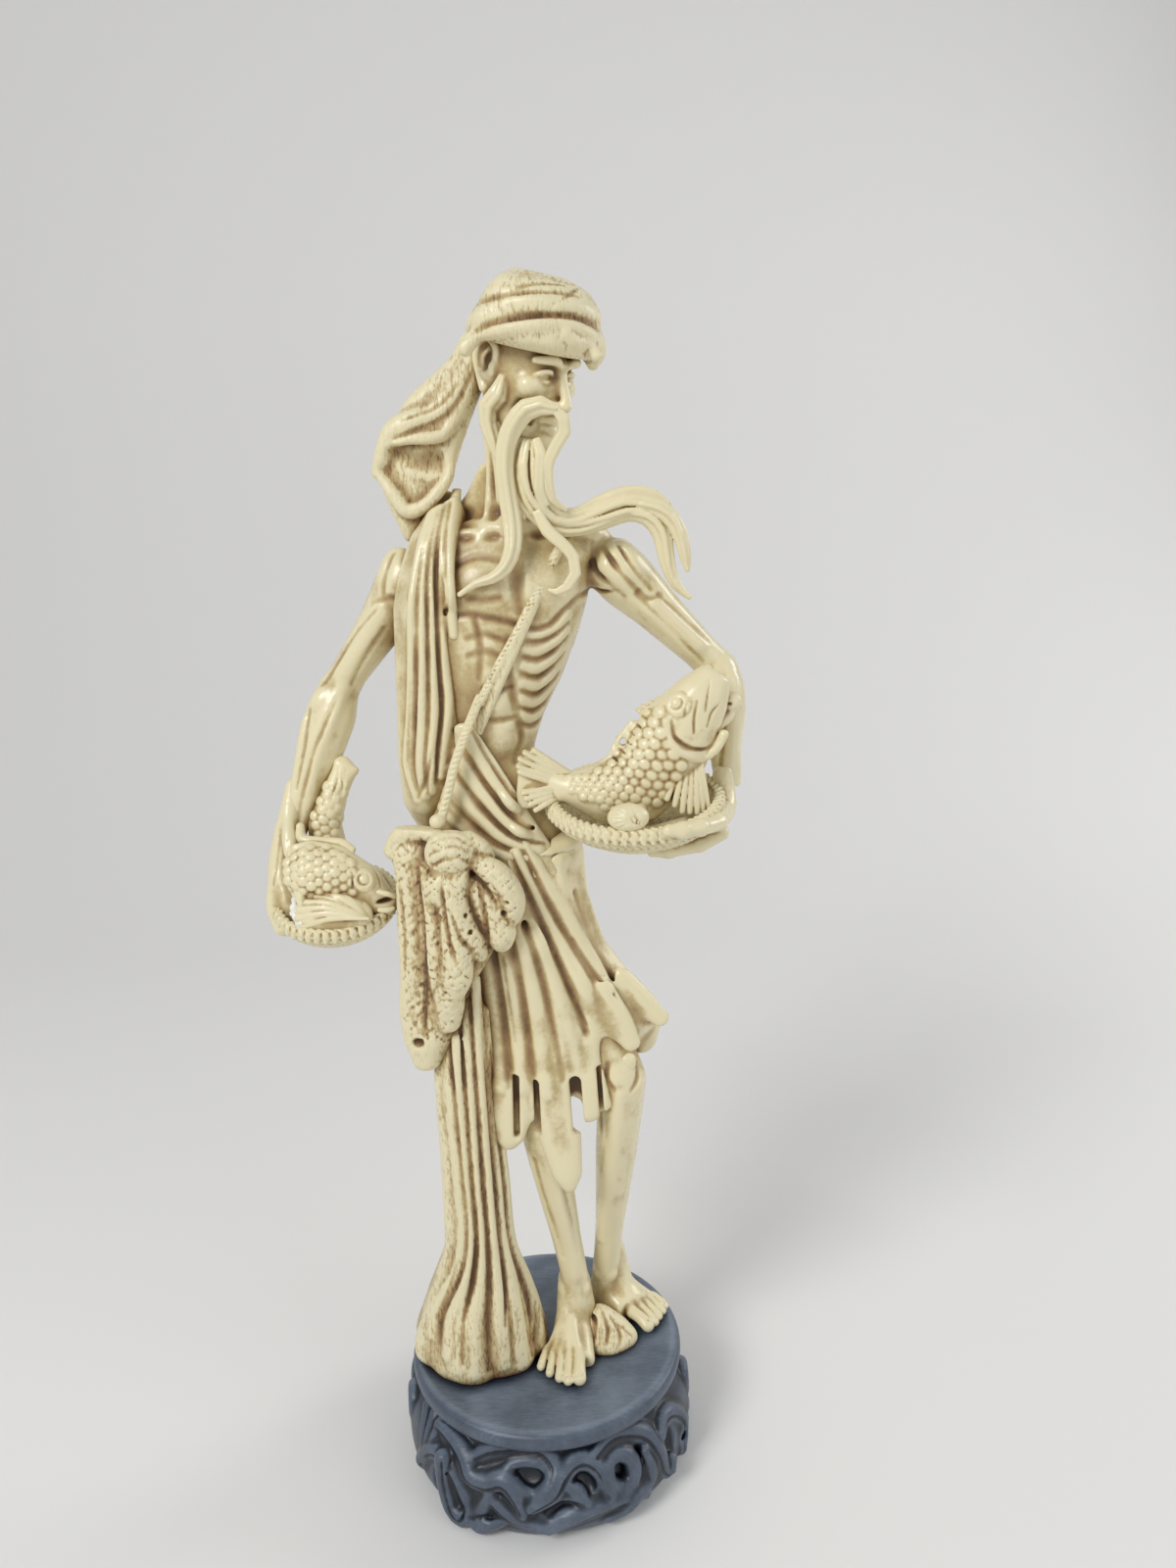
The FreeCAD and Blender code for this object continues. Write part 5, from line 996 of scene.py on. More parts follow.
def make_skirt():
    clay = clay_of(["skirt"])
    pleat(clay, [
        [(-20, 226), (-17, 196), (-15, 178), (-14, 160), (-13.4, 142)],
        [(-16, 226), (-10.4, 196), (-8, 178), (-6.4, 160), (-5.4, 140)],
        [(-11, 226), (-4, 198), (-0.6, 180), (1.4, 160), (3, 138)],
        [(-7.6, 226), (1, 201), (6.4, 184), (11, 166), (15.4, 148)],
        [(-4, 228), (5.6, 204), (12.6, 189), (20, 172), (25.4, 152)],
        [(0, 230), (9.4, 208.6), (17.4, 195), (27, 181), (37, 168.6)],
    ], (2.8, 0.9), (1.0, 1.1), 1.6)
    hang_tongues(clay)
    for line in ([(-10, 190), (-8.4, 172), (-7, 158)], [(8, 190), (13, 176), (18, 164)],
                 [(14, 196), (22, 182), (30, 172)]):
        clay.groove(line, 0.7, 0.6, 0.8)
    for across in (-16, -6, 4, 14):
        clay.groove([(across - 4, 220), (across, 195), (across + 4, 165), (across + 6, 145)], 1.8, 1.5, 1.6,
                    view="back")
    for across in (-8, 2):
        clay.groove([(across, 215), (across, 190), (across - 1, 160)], 1.6, 1.3, 1.6, view="left")
    piece_from(clay, "skirt_cloth", ["skirt"], SMOOTH_IVORY)


# The net


def cross_hatch(clay, low, high, step, width):
    """Short slanting cuts in two directions over a box of readings."""
    chance = np.random.default_rng(7)
    for height in np.arange(low[1], high[1], step):
        for across in np.arange(low[0], high[0], step * 1.2):
            middle = np.array((across, height)) + chance.uniform(-1, 1, 2) * step * 0.4
            sign = 1 if chance.random() < 0.6 else -1
            reach = step * chance.uniform(0.3, 0.55) * np.array((1, sign))
            places = clay.lay((middle - reach, middle + reach))
            off_surface = np.abs(clay.sample(places)).max()
            if np.linalg.norm(places[1] - places[0]) < step * 2.2 and off_surface < 1.0:
                clay.stroke(places, width, 0.2, cut=True, smooth=False)


FALL_FOLDS = [
    [(-31.6, 158), (-31, 130), (-29.8, 105), (-29.4, 82), (-33, 66), (-41, 52), (-43, 42)],
    [(-27.6, 160), (-27.2, 130), (-26.8, 105), (-26.4, 82), (-29, 66), (-35.6, 48), (-37.6, 32)],
    [(-23.8, 175), (-23.4, 135), (-23, 105), (-22.4, 82), (-23.4, 64), (-26.4, 44), (-27.4, 24)],
    [(-19.8, 182), (-19.4, 135), (-18.8, 105), (-18.2, 82), (-17.6, 64), (-17.4, 46), (-17, 27)],
    [(-16.6, 170), (-15.8, 135), (-14.6, 108), (-13.6, 82), (-11.8, 64), (-9.6, 46), (-9, 28)],
    [(-14.6, 140), (-13.6, 125), (-12.2, 105), (-11, 80), (-6, 64), (-2.8, 50), (-2.8, 36)],
]


def make_net():
    clay = clay_of(["net_bundle"], soften=1.0)
    clay.blob(spot(-37.4, 228, -17), (8.4, 7, 6.6), blend=3)
    clay.blob(spot(-26, 227.4, -26), (8, 6.4, 7.4), blend=2)
    for line in ([(-33, 230), (-29, 233), (-24, 233.4), (-19.6, 230)],
                 [(-33.4, 226.4), (-28.6, 229), (-23, 229.6), (-19, 226.6)],
                 [(-32.6, 223), (-28, 225), (-23, 225.6), (-19.4, 223.4)]):
        clay.groove(line, 0.9, 1.0, 0.8)
    clay.roll([(-45, 229, -18, 3), (-41.6, 234, -19, 3.4), (-35.4, 235.4, -20.4, 3.2),
               (-31, 233.6, -23, 2.6)], 1.2)
    clay.roll([(-19.6, 232, -24, 2.8), (-15.6, 229, -24, 2.8), (-12.6, 226, -21, 1.6)], 1.2)
    clay.roll([(-23, 221, -27, 3), (-25.6, 212, -28, 4.4), (-24.4, 203, -27.6, 5), (-20, 195.6, -26, 4.6),
               (-17.6, 191, -24.6, 2.4)], 1.0)
    clay.roll([(-17, 224, -25.6, 3), (-10.6, 219, -26, 4.4), (-6.4, 211, -25, 4.6), (-6.6, 205, -23.4, 3.6),
               (-9, 202, -22, 2)], 1.0)
    clay.roll([(-41, 224, -20, 3.2), (-40.6, 208, -21.6, 3.6), (-41, 190, -21, 3.4), (-43, 172, -18.6, 3.4),
               (-42.4, 160, -17, 3)], 1.6)
    clay.roll([(-33, 222, -23.6, 3.6), (-32.6, 205, -25, 4.4), (-31.6, 190, -25, 4.8), (-29, 176, -24, 5),
               (-29.6, 167, -22, 4)], 1.6)
    for line in ([(-37, 222), (-36.6, 205), (-36.6, 190), (-37.4, 174), (-38.6, 160)],
                 [(-29.6, 217), (-28.6, 200), (-26, 187)], [(-16.4, 214), (-15.4, 205), (-14.6, 197)],
                 [(-27.4, 208), (-24.6, 198), (-20.6, 192.6)], [(-12.6, 216), (-9.4, 209), (-8.8, 204)],
                 [(-43.6, 218), (-43.4, 200), (-44, 184)]):
        clay.groove(line, 1.0, 1.4, 0.9)
    clay.swell((-41, 158.6), (2.2, 1.8, 2.2), 2.0, 0.6, cut=True)
    for across, height in ((-8, 209), (-9, 205.6), (-21.6, 205), (-20.4, 199)):
        clay.swell((across, height), (0.9, 0.9, 1.2), 1.4, 0.4, cut=True)
    for height in np.arange(166, 188, 2.8):
        for across in np.arange(-31, -23, 2.6):
            clay.swell((across + (height % 2) * 0.5, height), (0.7, 0.7, 0.8), 0.35, 0.3, cut=True)
    cross_hatch(clay, (-46, 160), (-4, 234), 2.4, 0.28)
    piece_from(clay, "net_bundle_mesh", ["net_bundle"], ROUGH_IVORY)

    clay = clay_of(["net_fall"], soften=2.4, grow=0.5)
    # Rounded lobes where the folds spread over the stand
    for across, ahead, girth in ((-42.5, 2, 6), (-39, -9, 6.4), (-33, -16, 6.4), (-24.5, -19.5, 6.4),
                                 (-16, -16.4, 5.4), (-9.6, -14.6, 5.6), (-4.4, -7.6, 5.2)):
        clay.blob((across, ahead, 43.6), (girth, girth, 5.4), blend=3)
    for line in FALL_FOLDS:
        clay.ridge(line, np.interp(np.linspace(0, 1, len(line)), (0, 0.6, 1), (1.9, 2.0, 3.4)), 1.0, 1.2)
    for one, other in zip(FALL_FOLDS, FALL_FOLDS[1:]):
        line = between_lines(one, other)
        clay.groove(line, np.interp(np.linspace(0, 1, len(line)), (0, 0.6, 1), (0.9, 1.0, 2.0)), 1.4, 0.9)
    for line in ([(-24.6, 78), (-27, 62), (-31, 47)], [(-15.6, 76), (-15, 60), (-15.6, 44)],
                 [(-31, 74), (-36, 60), (-41, 48)], [(-9.4, 68), (-6.6, 56), (-5.6, 46)]):
        clay.groove(line, 0.8, 1.0, 0.8)
    for across in (-38, -30, -22, -14):
        clay.groove([(across * 0.5 - 12, 150), (across * 0.6 - 10, 100), (across, 60), (across * 1.1, 42)],
                    1.6, 1.5, 1.4, view="back")
    clay.trim((-56, -34, 36), (8, 30, 41), lambda x, y, z: z - STAND_TOP, 0)
    piece_from(clay, "net_fall_mesh", ["net_fall"], ROUGH_IVORY)

    clay = clay_of(["net_spill"], FINE_CELL, soften=0.8)
    for line in ([(17, 50), (18, 44), (17, 36)], [(20.6, 49), (22.6, 42), (22, 35)],
                 [(24, 46), (27, 40), (27, 35)], [(27, 43), (31, 38.4)]):
        clay.groove(line, 0.9, 1.1, 0.8)
    piece_from(clay, "net_spill_mesh", ["net_spill"], ROUGH_IVORY)


# The legs


def toes(clay, roots, tips, girths, ankle):
    """Toes with nails, and the tendons that run back from them to the ankle."""
    ankle = np.array(ankle)
    for root, tip, girth in zip(np.array(roots), np.array(tips), girths):
        way = (tip - root) / np.linalg.norm(tip - root)
        tip = tip - way * girth
        knuckle = (root + tip) / 2 + (0, 0, 0.5)
        clay.stroke((root, knuckle, tip), (girth * 0.95, girth * 0.92, girth), 0.5)
        nail = tip + way * girth * 0.35 + (0, 0, girth * 0.74)
        clay.blob(nail, (girth * 0.62, girth * 0.62, girth * 0.4), blend=0.15, cut=True)
        clay.blob(nail - (0, 0, girth * 0.22), (girth * 0.5, girth * 0.5, girth * 0.42), blend=0.1)
        tendon = (root, (root + ankle) / 2 + (0, 0, 0.8), ankle)
        clay.stroke(tendon, (girth * 0.62, 0.95, 0.8), 1.6)


def make_legs():
    clay = clay_of(["right_leg"], soften=1.0, grow=0.3)
    clay.trim((-10, -34, 38), (22, -10, 56), lambda x, y, z: y + 17.0 + 0.1 * (x - 5), 1.0)
    clay.ridge([(1, 122), (3.4, 110), (6.6, 96), (9.4, 84), (11.4, 74), (11.6, 64)], 2.0, 0.7, 1.8)
    clay.groove([(-2, 112), (0.6, 98), (4, 85), (6.6, 73)], 1.4, 0.9, 1.5)
    clay.groove([(6.4, 112), (8.6, 98), (11, 85), (12.6, 74)], 1.2, 0.8, 1.4)
    clay.stroke([(10, 4, 60, 5.4), (8.6, -3, 51, 4.8), (7.2, -9, 46, 4.4), (6.8, -12.6, 43.4, 3.2)],
                blend=3)
    clay.swell((5.8, 59.4), (2.4, 2.6, 2), 0.9, 1.2)
    clay.swell((15.4, 59), (2, 2.4, 2), 0.8, 1.2)
    toes(clay, [(0.4, -12.6, 43.4), (3.0, -14.6, 44), (5.9, -16.4, 44.6), (8.6, -17.8, 45),
                (12.0, -18.2, 44.8)],
         [(-2, -20.4, 41.6), (1.4, -23.9, 41.7), (5.0, -26.6, 41.8), (8.1, -28.3, 41.9),
          (12.2, -28.7, 42.4)], (1.6, 1.6, 1.7, 1.8, 2.4), (9.4, -4.4, 53))
    piece_from(clay, "right_leg_carving", ["right_leg"], SMOOTH_IVORY)
    clay = clay_of(["left_leg"], soften=1.0, grow=0.3)
    clay.trim((22, -20, 38), (54, 26, 56), lambda x, y, z: (y - 7.6) * 0.75 - (x - 33) * 0.66, 1.0)
    clay.swell((30, 145), (5, 6, 4), 1.0, 1.8)
    clay.groove([(25, 149), (24.6, 143), (27.6, 138)], 1.1, 1.2, 1.2)
    clay.groove([(35, 149), (35.4, 143), (33, 138)], 1.1, 1.1, 1.2)
    clay.ridge([(29, 137), (27.6, 122), (25, 106), (22.6, 92), (20.6, 80)], 2.2, 0.8, 1.8)
    clay.groove([(22, 138), (22, 125), (19.6, 112), (18.4, 98), (17.6, 85)], 1.3, 1.1, 1.4)
    clay.stroke([(25, 18, 62, 5.2), (28, 14, 52, 4.6), (31.6, 11.6, 46, 4.4), (34, 10, 43.4, 3.2)], blend=3)
    clay.swell((18.6, 66), (2.2, 2.8, 2), 0.8, 1.2)
    clay.swell((25, 64), (2.2, 2.6, 2), 0.8, 1.2)
    toes(clay, [(32.0, 4.6, 44.8), (35.2, 7.0, 44.8), (37.4, 9.6, 44.4), (39.2, 12.2, 44),
                (40.8, 14.8, 43.4)],
         [(39.2, -2.2, 42.4), (41.4, 0.8, 41.9), (43.0, 4.0, 41.8), (44.6, 7.2, 41.7), (45.8, 10.4, 41.6)],
         (2.4, 1.8, 1.7, 1.6, 1.6), (26.6, 14.6, 54))
    piece_from(clay, "left_leg_carving", ["left_leg"], SMOOTH_IVORY)


make_robe()
make_wrap()
make_lower_cord()
make_skirt()
make_net()
make_legs()


# Baskets, fish, shells and hands


# A basket's rings from the rim down and over its foot, as shares of its radius and depth
BOWL_SHARES = ((0.97, -0.1), (0.93, -0.3), (0.86, -0.5), (0.77, -0.68), (0.66, -0.82))
FOOT_SHARES = (0.55, 0.45, 0.35, 0.25, 0.15, 0.05)
# Levels between which each row of the weave leans, and how far it stands out
WEAVE_SHARES = ((0.985, -0.2), (0.93, -0.42), (0.84, -0.62), (0.72, -0.8), (0.56, -0.95))
WEAVE_OUT_SHARE = 1.045
WEAVE_LEAN = 1.1
WEAVE_COUNT_SHARE = 1.15


def basket_place(middle, half_width, half_depth, height, tilt):
    """Gives places about a basket from shares aside, ahead and up; its mouth is tilted to the front."""
    lean = math.radians(tilt)
    side = np.array((half_width, 0, 0))
    front = np.array((0, -math.cos(lean), -math.sin(lean))) * half_depth
    up = np.array((0, -math.sin(lean), math.cos(lean))) * height
    return lambda aside, ahead, rise: np.array(middle) + side * aside + front * ahead + up * rise


LEFT_BASKET = basket_place((36, -12, 247.4), 27.0, 24.2, 11, 15)
RIGHT_BASKET = basket_place((-63, -9, 215), 19, 19, 9.5, 18)


def make_basket(name, node, at, low, high, around, foot):
    clay = Clay(low, high, FINE_CELL)
    step = 2 * math.pi / around

    def rim(angle, out, rise):
        return at(math.cos(angle) * out, math.sin(angle) * out, rise)

    def ring(out, rise, radius, blend=1.6):
        turn = np.linspace(0, 2 * math.pi, around + 1)
        clay.stroke([rim(angle, out, rise) for angle in turn], radius, blend, smooth=False)

    # The bowl as a stack of rings, its wall open to the top
    for out, rise in BOWL_SHARES + ((foot, -0.92),):
        ring(out, rise, 1.5)
    for out in FOOT_SHARES:
        if out < foot:
            ring(out, -0.96, 1.6)
    # The twisted rim
    ring(1.0, 0.0, 1.6, 0.6)
    for number in range(around):
        angle = step * number
        twist = [rim(angle - step, 1.06, -0.16), rim(angle, 1.03, 0.12), rim(angle + step, 0.95, 0.14)]
        clay.stroke(twist, 0.8, 0.1)
    for number in range(around):
        angle = step * (number + 0.5)
        nick = [rim(angle, 1.03, 0.16), rim(angle, 1.09, -0.02), rim(angle, 1.05, -0.2)]
        clay.stroke(nick, 0.42, 0.1, cut=True, smooth=False)
    # Herringbone weave down the outside
    count = int(around * WEAVE_COUNT_SHARE)
    for row, ((wide, high_rise), (narrow, low_rise)) in enumerate(zip(WEAVE_SHARES, WEAVE_SHARES[1:])):
        lean = WEAVE_LEAN if row % 2 else -WEAVE_LEAN
        for number in range(count):
            start = rim(2 * math.pi * number / count, wide * WEAVE_OUT_SHARE, high_rise)
            end = rim(2 * math.pi * (number + lean) / count, narrow * WEAVE_OUT_SHARE, low_rise)
            clay.stroke([start, end], 0.62, 0.3, smooth=False)
    piece_from(clay, name, [node], ROUGH_IVORY)


def within(outline, across, height):
    """Whether a reading lies inside an outline."""
    odd = False
    for (x0, z0), (x1, z1) in zip(outline, outline[1:] + outline[:1]):
        if (z0 > height) != (z1 > height) and across < (x1 - x0) * (height - z0) / (z1 - z0) + x0:
            odd = not odd
    return odd


# Longer than any field of scales
SCALE_FIELD_LENGTH = 80.0


def scale_field(clay, outline, start, run, size_at, proud=0.85):
    """Overlapping round scales over an outline, in staggered rows square to a direction of readings."""
    run = np.array(run) / np.linalg.norm(run)
    aside = np.array((-run[1], run[0]))
    tilt = math.degrees(math.atan2(run[1], run[0]))
    reach, row = 0.0, 0
    while reach < SCALE_FIELD_LENGTH:
        size = size_at(reach)
        for number in range(-16, 17):
            place = np.array(start) + run * reach + aside * size * 1.05 * (number + 0.5 * (row % 2))
            if within(outline, *place):
                clay.swell(tuple(place), (size * 0.62, size * 0.58, 1.3), proud, 0.05, tilt=tilt)
        reach += size * 0.82
        row += 1


def fin(clay, root, tips, thickness, rays):
    """Rays on a thin web, fanned out from a root line to a line of tips, each a reading and a depth."""
    starts = np.column_stack([along(column, rays) for column in np.array(spots([root[0], root[-1]])).T])
    ends = np.column_stack([along(column, rays) for column in np.array(spots(tips)).T])
    for start, end in zip(starts, ends):
        clay.stroke(np.array((start, (start + end) / 2, end)) + (0, 0.9, 0), thickness * 0.8, 0.8)
    gap = np.linalg.norm(np.diff(ends, axis=0), axis=1).min()
    girth = min(max(gap * 0.5, 0.5), 1.3)
    for start, end in zip(starts, ends):
        ray = (start + (0, -0.5, 0), (start + end) / 2 + (0, -0.7, 0), end + (0, -0.3, 0))
        clay.stroke(ray, (girth, girth, girth * 0.8), 0.05)


def eye(clay, reading, size):
    """A round eye in a raised ring."""
    clay.swell(reading, (size * 1.7, size * 1.7, 2.4), 1.2, 0.3)
    clay.swell(reading, (size * 1.25, size * 1.25, 2.2), 1.3, 0.1, cut=True)
    clay.swell(reading, (size * 0.85, size * 0.85, 1.6), 1.3, 0.1)


def make_left_carp():
    clay = clay_of(["left_carp"], FINE_CELL, soften=1.0, grow=0.2)
    fin(clay, [(15, 253.4, -13.5), (14, 249.4, -14)],
        [(3.4, 261.6, -16), (-0.6, 260.6, -17), (-2, 257, -17.5), (-1.6, 254.4, -17.5)], 1.2, 5)
    fin(clay, [(14.4, 250, -14.5), (13, 247.4, -14.5)],
        [(-0.6, 247.4, -19), (0.6, 244.4, -19.5), (3.2, 241.4, -19.5)], 1.2, 4)
    fin(clay, [(30, 258, -12.5), (46, 276, -12)],
        [(25.6, 257, -12), (31.4, 258.6, -12), (31.4, 265.6, -12), (37, 269.6, -12), (38, 274.6, -12),
         (44.4, 277.4, -12)], 1.2, 14)
    body = [(15, 254.6), (20, 254), (27, 256), (32, 262), (35, 269), (40, 275), (45, 276), (46.4, 271),
            (48, 265), (51, 260), (54, 257), (51, 249), (46, 242), (36, 240), (25, 241.6), (15, 247)]
    scale_field(clay, body, (14, 250), (0.86, 0.51), lambda reach: min(2.5 + reach * 0.055, 4.0))
    # Head: eye, gill cover, gill lines, lips and the pebble they hold
    eye(clay, (50.4, 276), 2.6)
    clay.ridge([(47, 270), (48, 265), (50, 261), (55, 258), (60, 257.6), (64, 260.4), (66.6, 265)], 1.5,
               0.8, 0.5)
    clay.groove([(48.6, 270), (50, 264.6), (55, 261), (60, 260.6), (64, 263)], 0.8, 0.9, 0.5)
    for line in ([(53, 272), (53.4, 274.6), (54, 276.4)], [(56, 266), (56.2, 271), (57.2, 276.4)],
                 [(60.4, 268), (62, 272.6), (64.4, 275.4)], [(59.8, 273), (60.6, 278), (61.4, 283)]):
        clay.groove(line, 0.6, 0.7, 0.4)
    clay.roll([(60.6, 287, -9, 1.4), (62.6, 282, -12, 1.6), (63.8, 278.4, -13.4, 1.5),
               (66, 276, -13.6, 1.2)], 0.7)
    clay.roll([(60, 269.4, -15, 1.8), (64, 269, -15.4, 1.9), (67.6, 271.4, -14.4, 1.6),
               (68, 274, -13, 1.2)], 0.7)
    clay.blob(spot(68, 276, -13.6), (3.6, 2.6, 3.3), blend=0.4)
    clay.blob(spot(68, 275.2, -16.4), (0.9, 1.2, 0.7), blend=0.3, cut=True)
    for across, height in ((28.6, 259.6), (34.4, 262.6), (33.6, 268.6), (38.6, 270.4), (41, 275.8)):
        clay.blob(spot(across - 1.6, height + 1.6, -12), (1.5, 5, 1.5), blend=0.6, cut=True)
    for across, height in ((30, 258), (32.4, 260.6), (34.4, 263.6), (35.6, 266.6), (37.6, 269.2),
                           (39.4, 272), (41.6, 274.4)):
        clay.groove([(across - 2.4, height + 2.2), (across - 0.4, height + 0.4),
                     (across + 1.4, height - 1.2)], 0.5, 0.5, 0.2)
    # The fin behind the gills, laid down over the belly
    fin(clay, [(52, 259, -19.5), (57.6, 257.6, -18.5)],
        [(47, 244, -23), (52, 239.6, -23.5), (57, 239, -22.5), (60.6, 240.4, -20)], 1.1, 7)
    piece_from(clay, "left_carp_carving", ["left_carp"], FISH_IVORY)


def make_right_carp():
    clay = clay_of(["right_carp"], FINE_CELL, soften=0.8, grow=0.2)
    clay.roll([(-75.4, 238, -9, 1.4), (-75, 233.6, -10, 1.8), (-69, 232.6, -11.4, 1.6),
               (-62, 232, -12, 1.4), (-58.4, 229.6, -13, 1.0)], 0.8)
    body = [(-83, 212), (-83, 229), (-70, 231.6), (-62, 230), (-59.4, 226), (-58.6, 219), (-60, 213)]
    scale_field(clay, body, (-84, 221), (1, -0.05), lambda reach: 3.3, 0.9)
    eye(clay, (-55.5, 219), 2.4)
    for line in ([(-61, 227), (-59.4, 222), (-59.6, 216)], [(-52, 223), (-50.4, 219), (-50, 216)],
                 [(-71, 231), (-69, 229.4), (-66, 229)], [(-66, 231), (-63.6, 229.6), (-61, 229)]):
        clay.groove(line, 0.5, 0.5, 0.4)
    clay.blob(spot(-47.4, 210.6, -20), (4.4, 4.4, 1.3), blend=0.6, cut=True)
    clay.roll([(-51, 214.4, -22, 0.8), (-48, 213.6, -22, 0.9), (-45.6, 212.6, -20, 0.7)], 0.5)
    clay.roll([(-51, 208, -23, 0.8), (-48.6, 207.8, -22.6, 0.9), (-46.4, 208.4, -21, 0.7)], 0.5)
    piece_from(clay, "right_carp_carving", ["right_carp"], FISH_IVORY)

    clay = clay_of(["right_carp_tail"], FINE_CELL, soften=0.8, grow=0.2)
    clay.roll([(-62.4, 260.4, 2, 1.4), (-59, 259.6, 1.4, 1.8), (-56.6, 256.6, 1, 1.4)], 1.0)
    body = [(-74, 233), (-71, 246), (-64.6, 253.6), (-56.6, 253), (-58, 243), (-60.4, 232)]
    scale_field(clay, body, (-60, 252), (-0.42, -0.9), lambda reach: 3.4, 0.7)
    for line in ([(-61, 258), (-62.4, 252), (-65, 246)], [(-58.6, 257), (-60, 251), (-61.6, 245)],
                 [(-60, 256), (-60.4, 250)]):
        clay.groove(line, 0.5, 0.5, 0.4)
    piece_from(clay, "right_carp_tail_carving", ["right_carp_tail"], FISH_IVORY)


def make_shells():
    clay = Clay((-90, -44, 194), (-44, -6, 224), FINE_CELL)
    clay.blob(spot(-67, 206.6, -22), (12.8, 5.2, 7.4), blend=0)
    hinge = (-55.0, 205.0)
    for rim in ((-60.4, 211.4), (-64, 213.2), (-68, 213.8), (-72, 213.2), (-75.6, 211.6), (-78.4, 209),
                (-79.2, 205.8), (-77.6, 202.6)):
        middle = (hinge[0] * 0.42 + rim[0] * 0.58, hinge[1] * 0.42 + rim[1] * 0.58 + 1.7)
        clay.ridge([hinge, middle, rim], (0.5, 1.05, 1.1), 0.75, 0.1)
    piece_from(clay, "cockle_shell_carving", ["cockle_shell"], FISH_IVORY)
    clay = Clay((20, -48, 232), (50, -20, 256), FINE_CELL)
    middle = spot(34, 238, -33.5)
    clay.blob(middle, (6.4, 4.6, 4.4))
    for number in range(8):
        angle = math.radians(60 + 24 * number)
        clay.groove([(38, 235.6), (35.5 + 4.4 * math.cos(angle) * 0.6, 237.4 + 2.4 * math.sin(angle)),
                     (34.6 + 6.4 * math.cos(angle), 237.6 + 4.6 * math.sin(angle))], 0.3, 0.35, 0.2)
    piece_from(clay, "small_shell_carving", ["small_shell"], FISH_IVORY)


def finger(clay, places, girth):
    """A finger, thicker at its knuckles and slimmer to its end."""
    places = np.array(places, dtype=float)
    clay.stroke(places, girth * along((1.05, 1, 0.78), len(places)), 0.8)
    for knuckle in places[1:-1]:
        clay.blob(knuckle, girth * 1.12, blend=1.0)


def make_hands():
    clay = Clay((-95, -34, 192), (-56, 8, 258), FINE_CELL)
    clay.roll([(-76.6, 252, 1, 2.4), (-78.4, 243, -3, 3.4), (-80, 236, -4, 4.2), (-81.6, 228, -6, 4.8),
               (-83.4, 219, -9, 4.4), (-85, 210.4, -11, 4.0), (-83.6, 203.6, -12, 3.8)], 2)
    clay.roll([(-83, 220, -10, 3), (-81, 213, -13, 3.6), (-79.6, 206, -14, 3.6)], 2)
    clay.roll([(-78.4, 244, -4, 1.4), (-79.4, 236, -9, 2.2), (-79.2, 230, -12, 2.4), (-78.4, 224, -16, 2.3),
               (-77.2, 216, -20, 2.2), (-76.8, 210.4, -22.4, 1.7)], 1.4)
    clay.roll([(-81.4, 226, -14, 1.4), (-82.2, 219, -16, 1.7), (-81.4, 212, -18, 1.4)], 1.2, cut=True)
    for number, ahead in enumerate((-0.66, -0.44, -0.22, 0.0)):
        reach = (0.86, 1.0, 0.96, 0.8)[number]
        places = [RIGHT_BASKET(-1.1, ahead, -0.3), RIGHT_BASKET(-0.98, ahead, -0.7),
                  RIGHT_BASKET(-0.62 * reach, ahead, -1.02), RIGHT_BASKET(-0.1 - 0.2 * (1 - reach), ahead,
                                                                          -1.1)]
        finger(clay, places, 2.3)
    clay.groove([(-82.4, 235), (-84, 227), (-86, 218)], 0.5, 0.5, 0.5)
    clay.groove([(-80, 233), (-80.8, 227)], 0.5, 0.5, 0.5)
    piece_from(clay, "right_hand_carving", ["right_hand"], SMOOTH_IVORY)
    # The white bead of glue where the right hand meets its basket
    clay = Clay((-88, -34, 196), (-66, -8, 222), FINE_CELL)
    for across, height, depth, radius in ((-79.4, 212.4, -21, 1.2), (-79.8, 209.6, -22, 1.5),
                                          (-79.2, 206.6, -23, 1.6), (-77.6, 204.4, -24.4, 1.3),
                                          (-78.8, 204, -23.6, 1.2), (-80.6, 207.6, -21.6, 1.0)):
        clay.blob(spot(across, height, depth), radius, blend=0.5)
    piece_from(clay, "glue_bead", [], GLUE)

    clay = Clay((20, -46, 218), (78, 12, 256), FINE_CELL)
    clay.roll([(65.6, 252, -5, 3.4), (65.8, 245, -7, 4.0), (65.2, 239.6, -11, 4.4), (61, 236, -17, 4.2),
               (53, 233, -20, 4.2), (44, 231, -20, 4.0), (36, 231, -18, 3.2)], 2)
    for number, (start_ahead, end_ahead) in enumerate(((-0.2, -0.15), (0.1, 0.15), (0.34, 0.4),
                                                       (0.54, 0.6))):
        places = [LEFT_BASKET(0.98, start_ahead, -0.55), LEFT_BASKET(0.72, start_ahead + 0.04, -0.86),
                  LEFT_BASKET(0.36, end_ahead, -1.02), LEFT_BASKET(0.02 + 0.05 * number, end_ahead, -1.04)]
        finger(clay, places, 2.2)
    finger(clay, [spot(66, 240, -14), spot(64, 235.6, -24), spot(58, 233.8, -33), spot(52, 233, -36.5),
                  spot(47.4, 233, -38)], 2.5)
    piece_from(clay, "left_hand_carving", ["left_hand"], SMOOTH_IVORY)


make_basket("left_basket_weave", "left_basket", LEFT_BASKET, (2, -46, 226), (70, 20, 260), 62, 0.6)
make_basket("right_basket_weave", "right_basket", RIGHT_BASKET, (-88, -36, 194), (-38, 18, 230), 44, 0.56)
make_left_carp()
make_right_carp()
make_shells()
make_hands()


# The stand


STAND_LOW = (-60, -60, -2)
STAND_HIGH = (60, 60, 46)
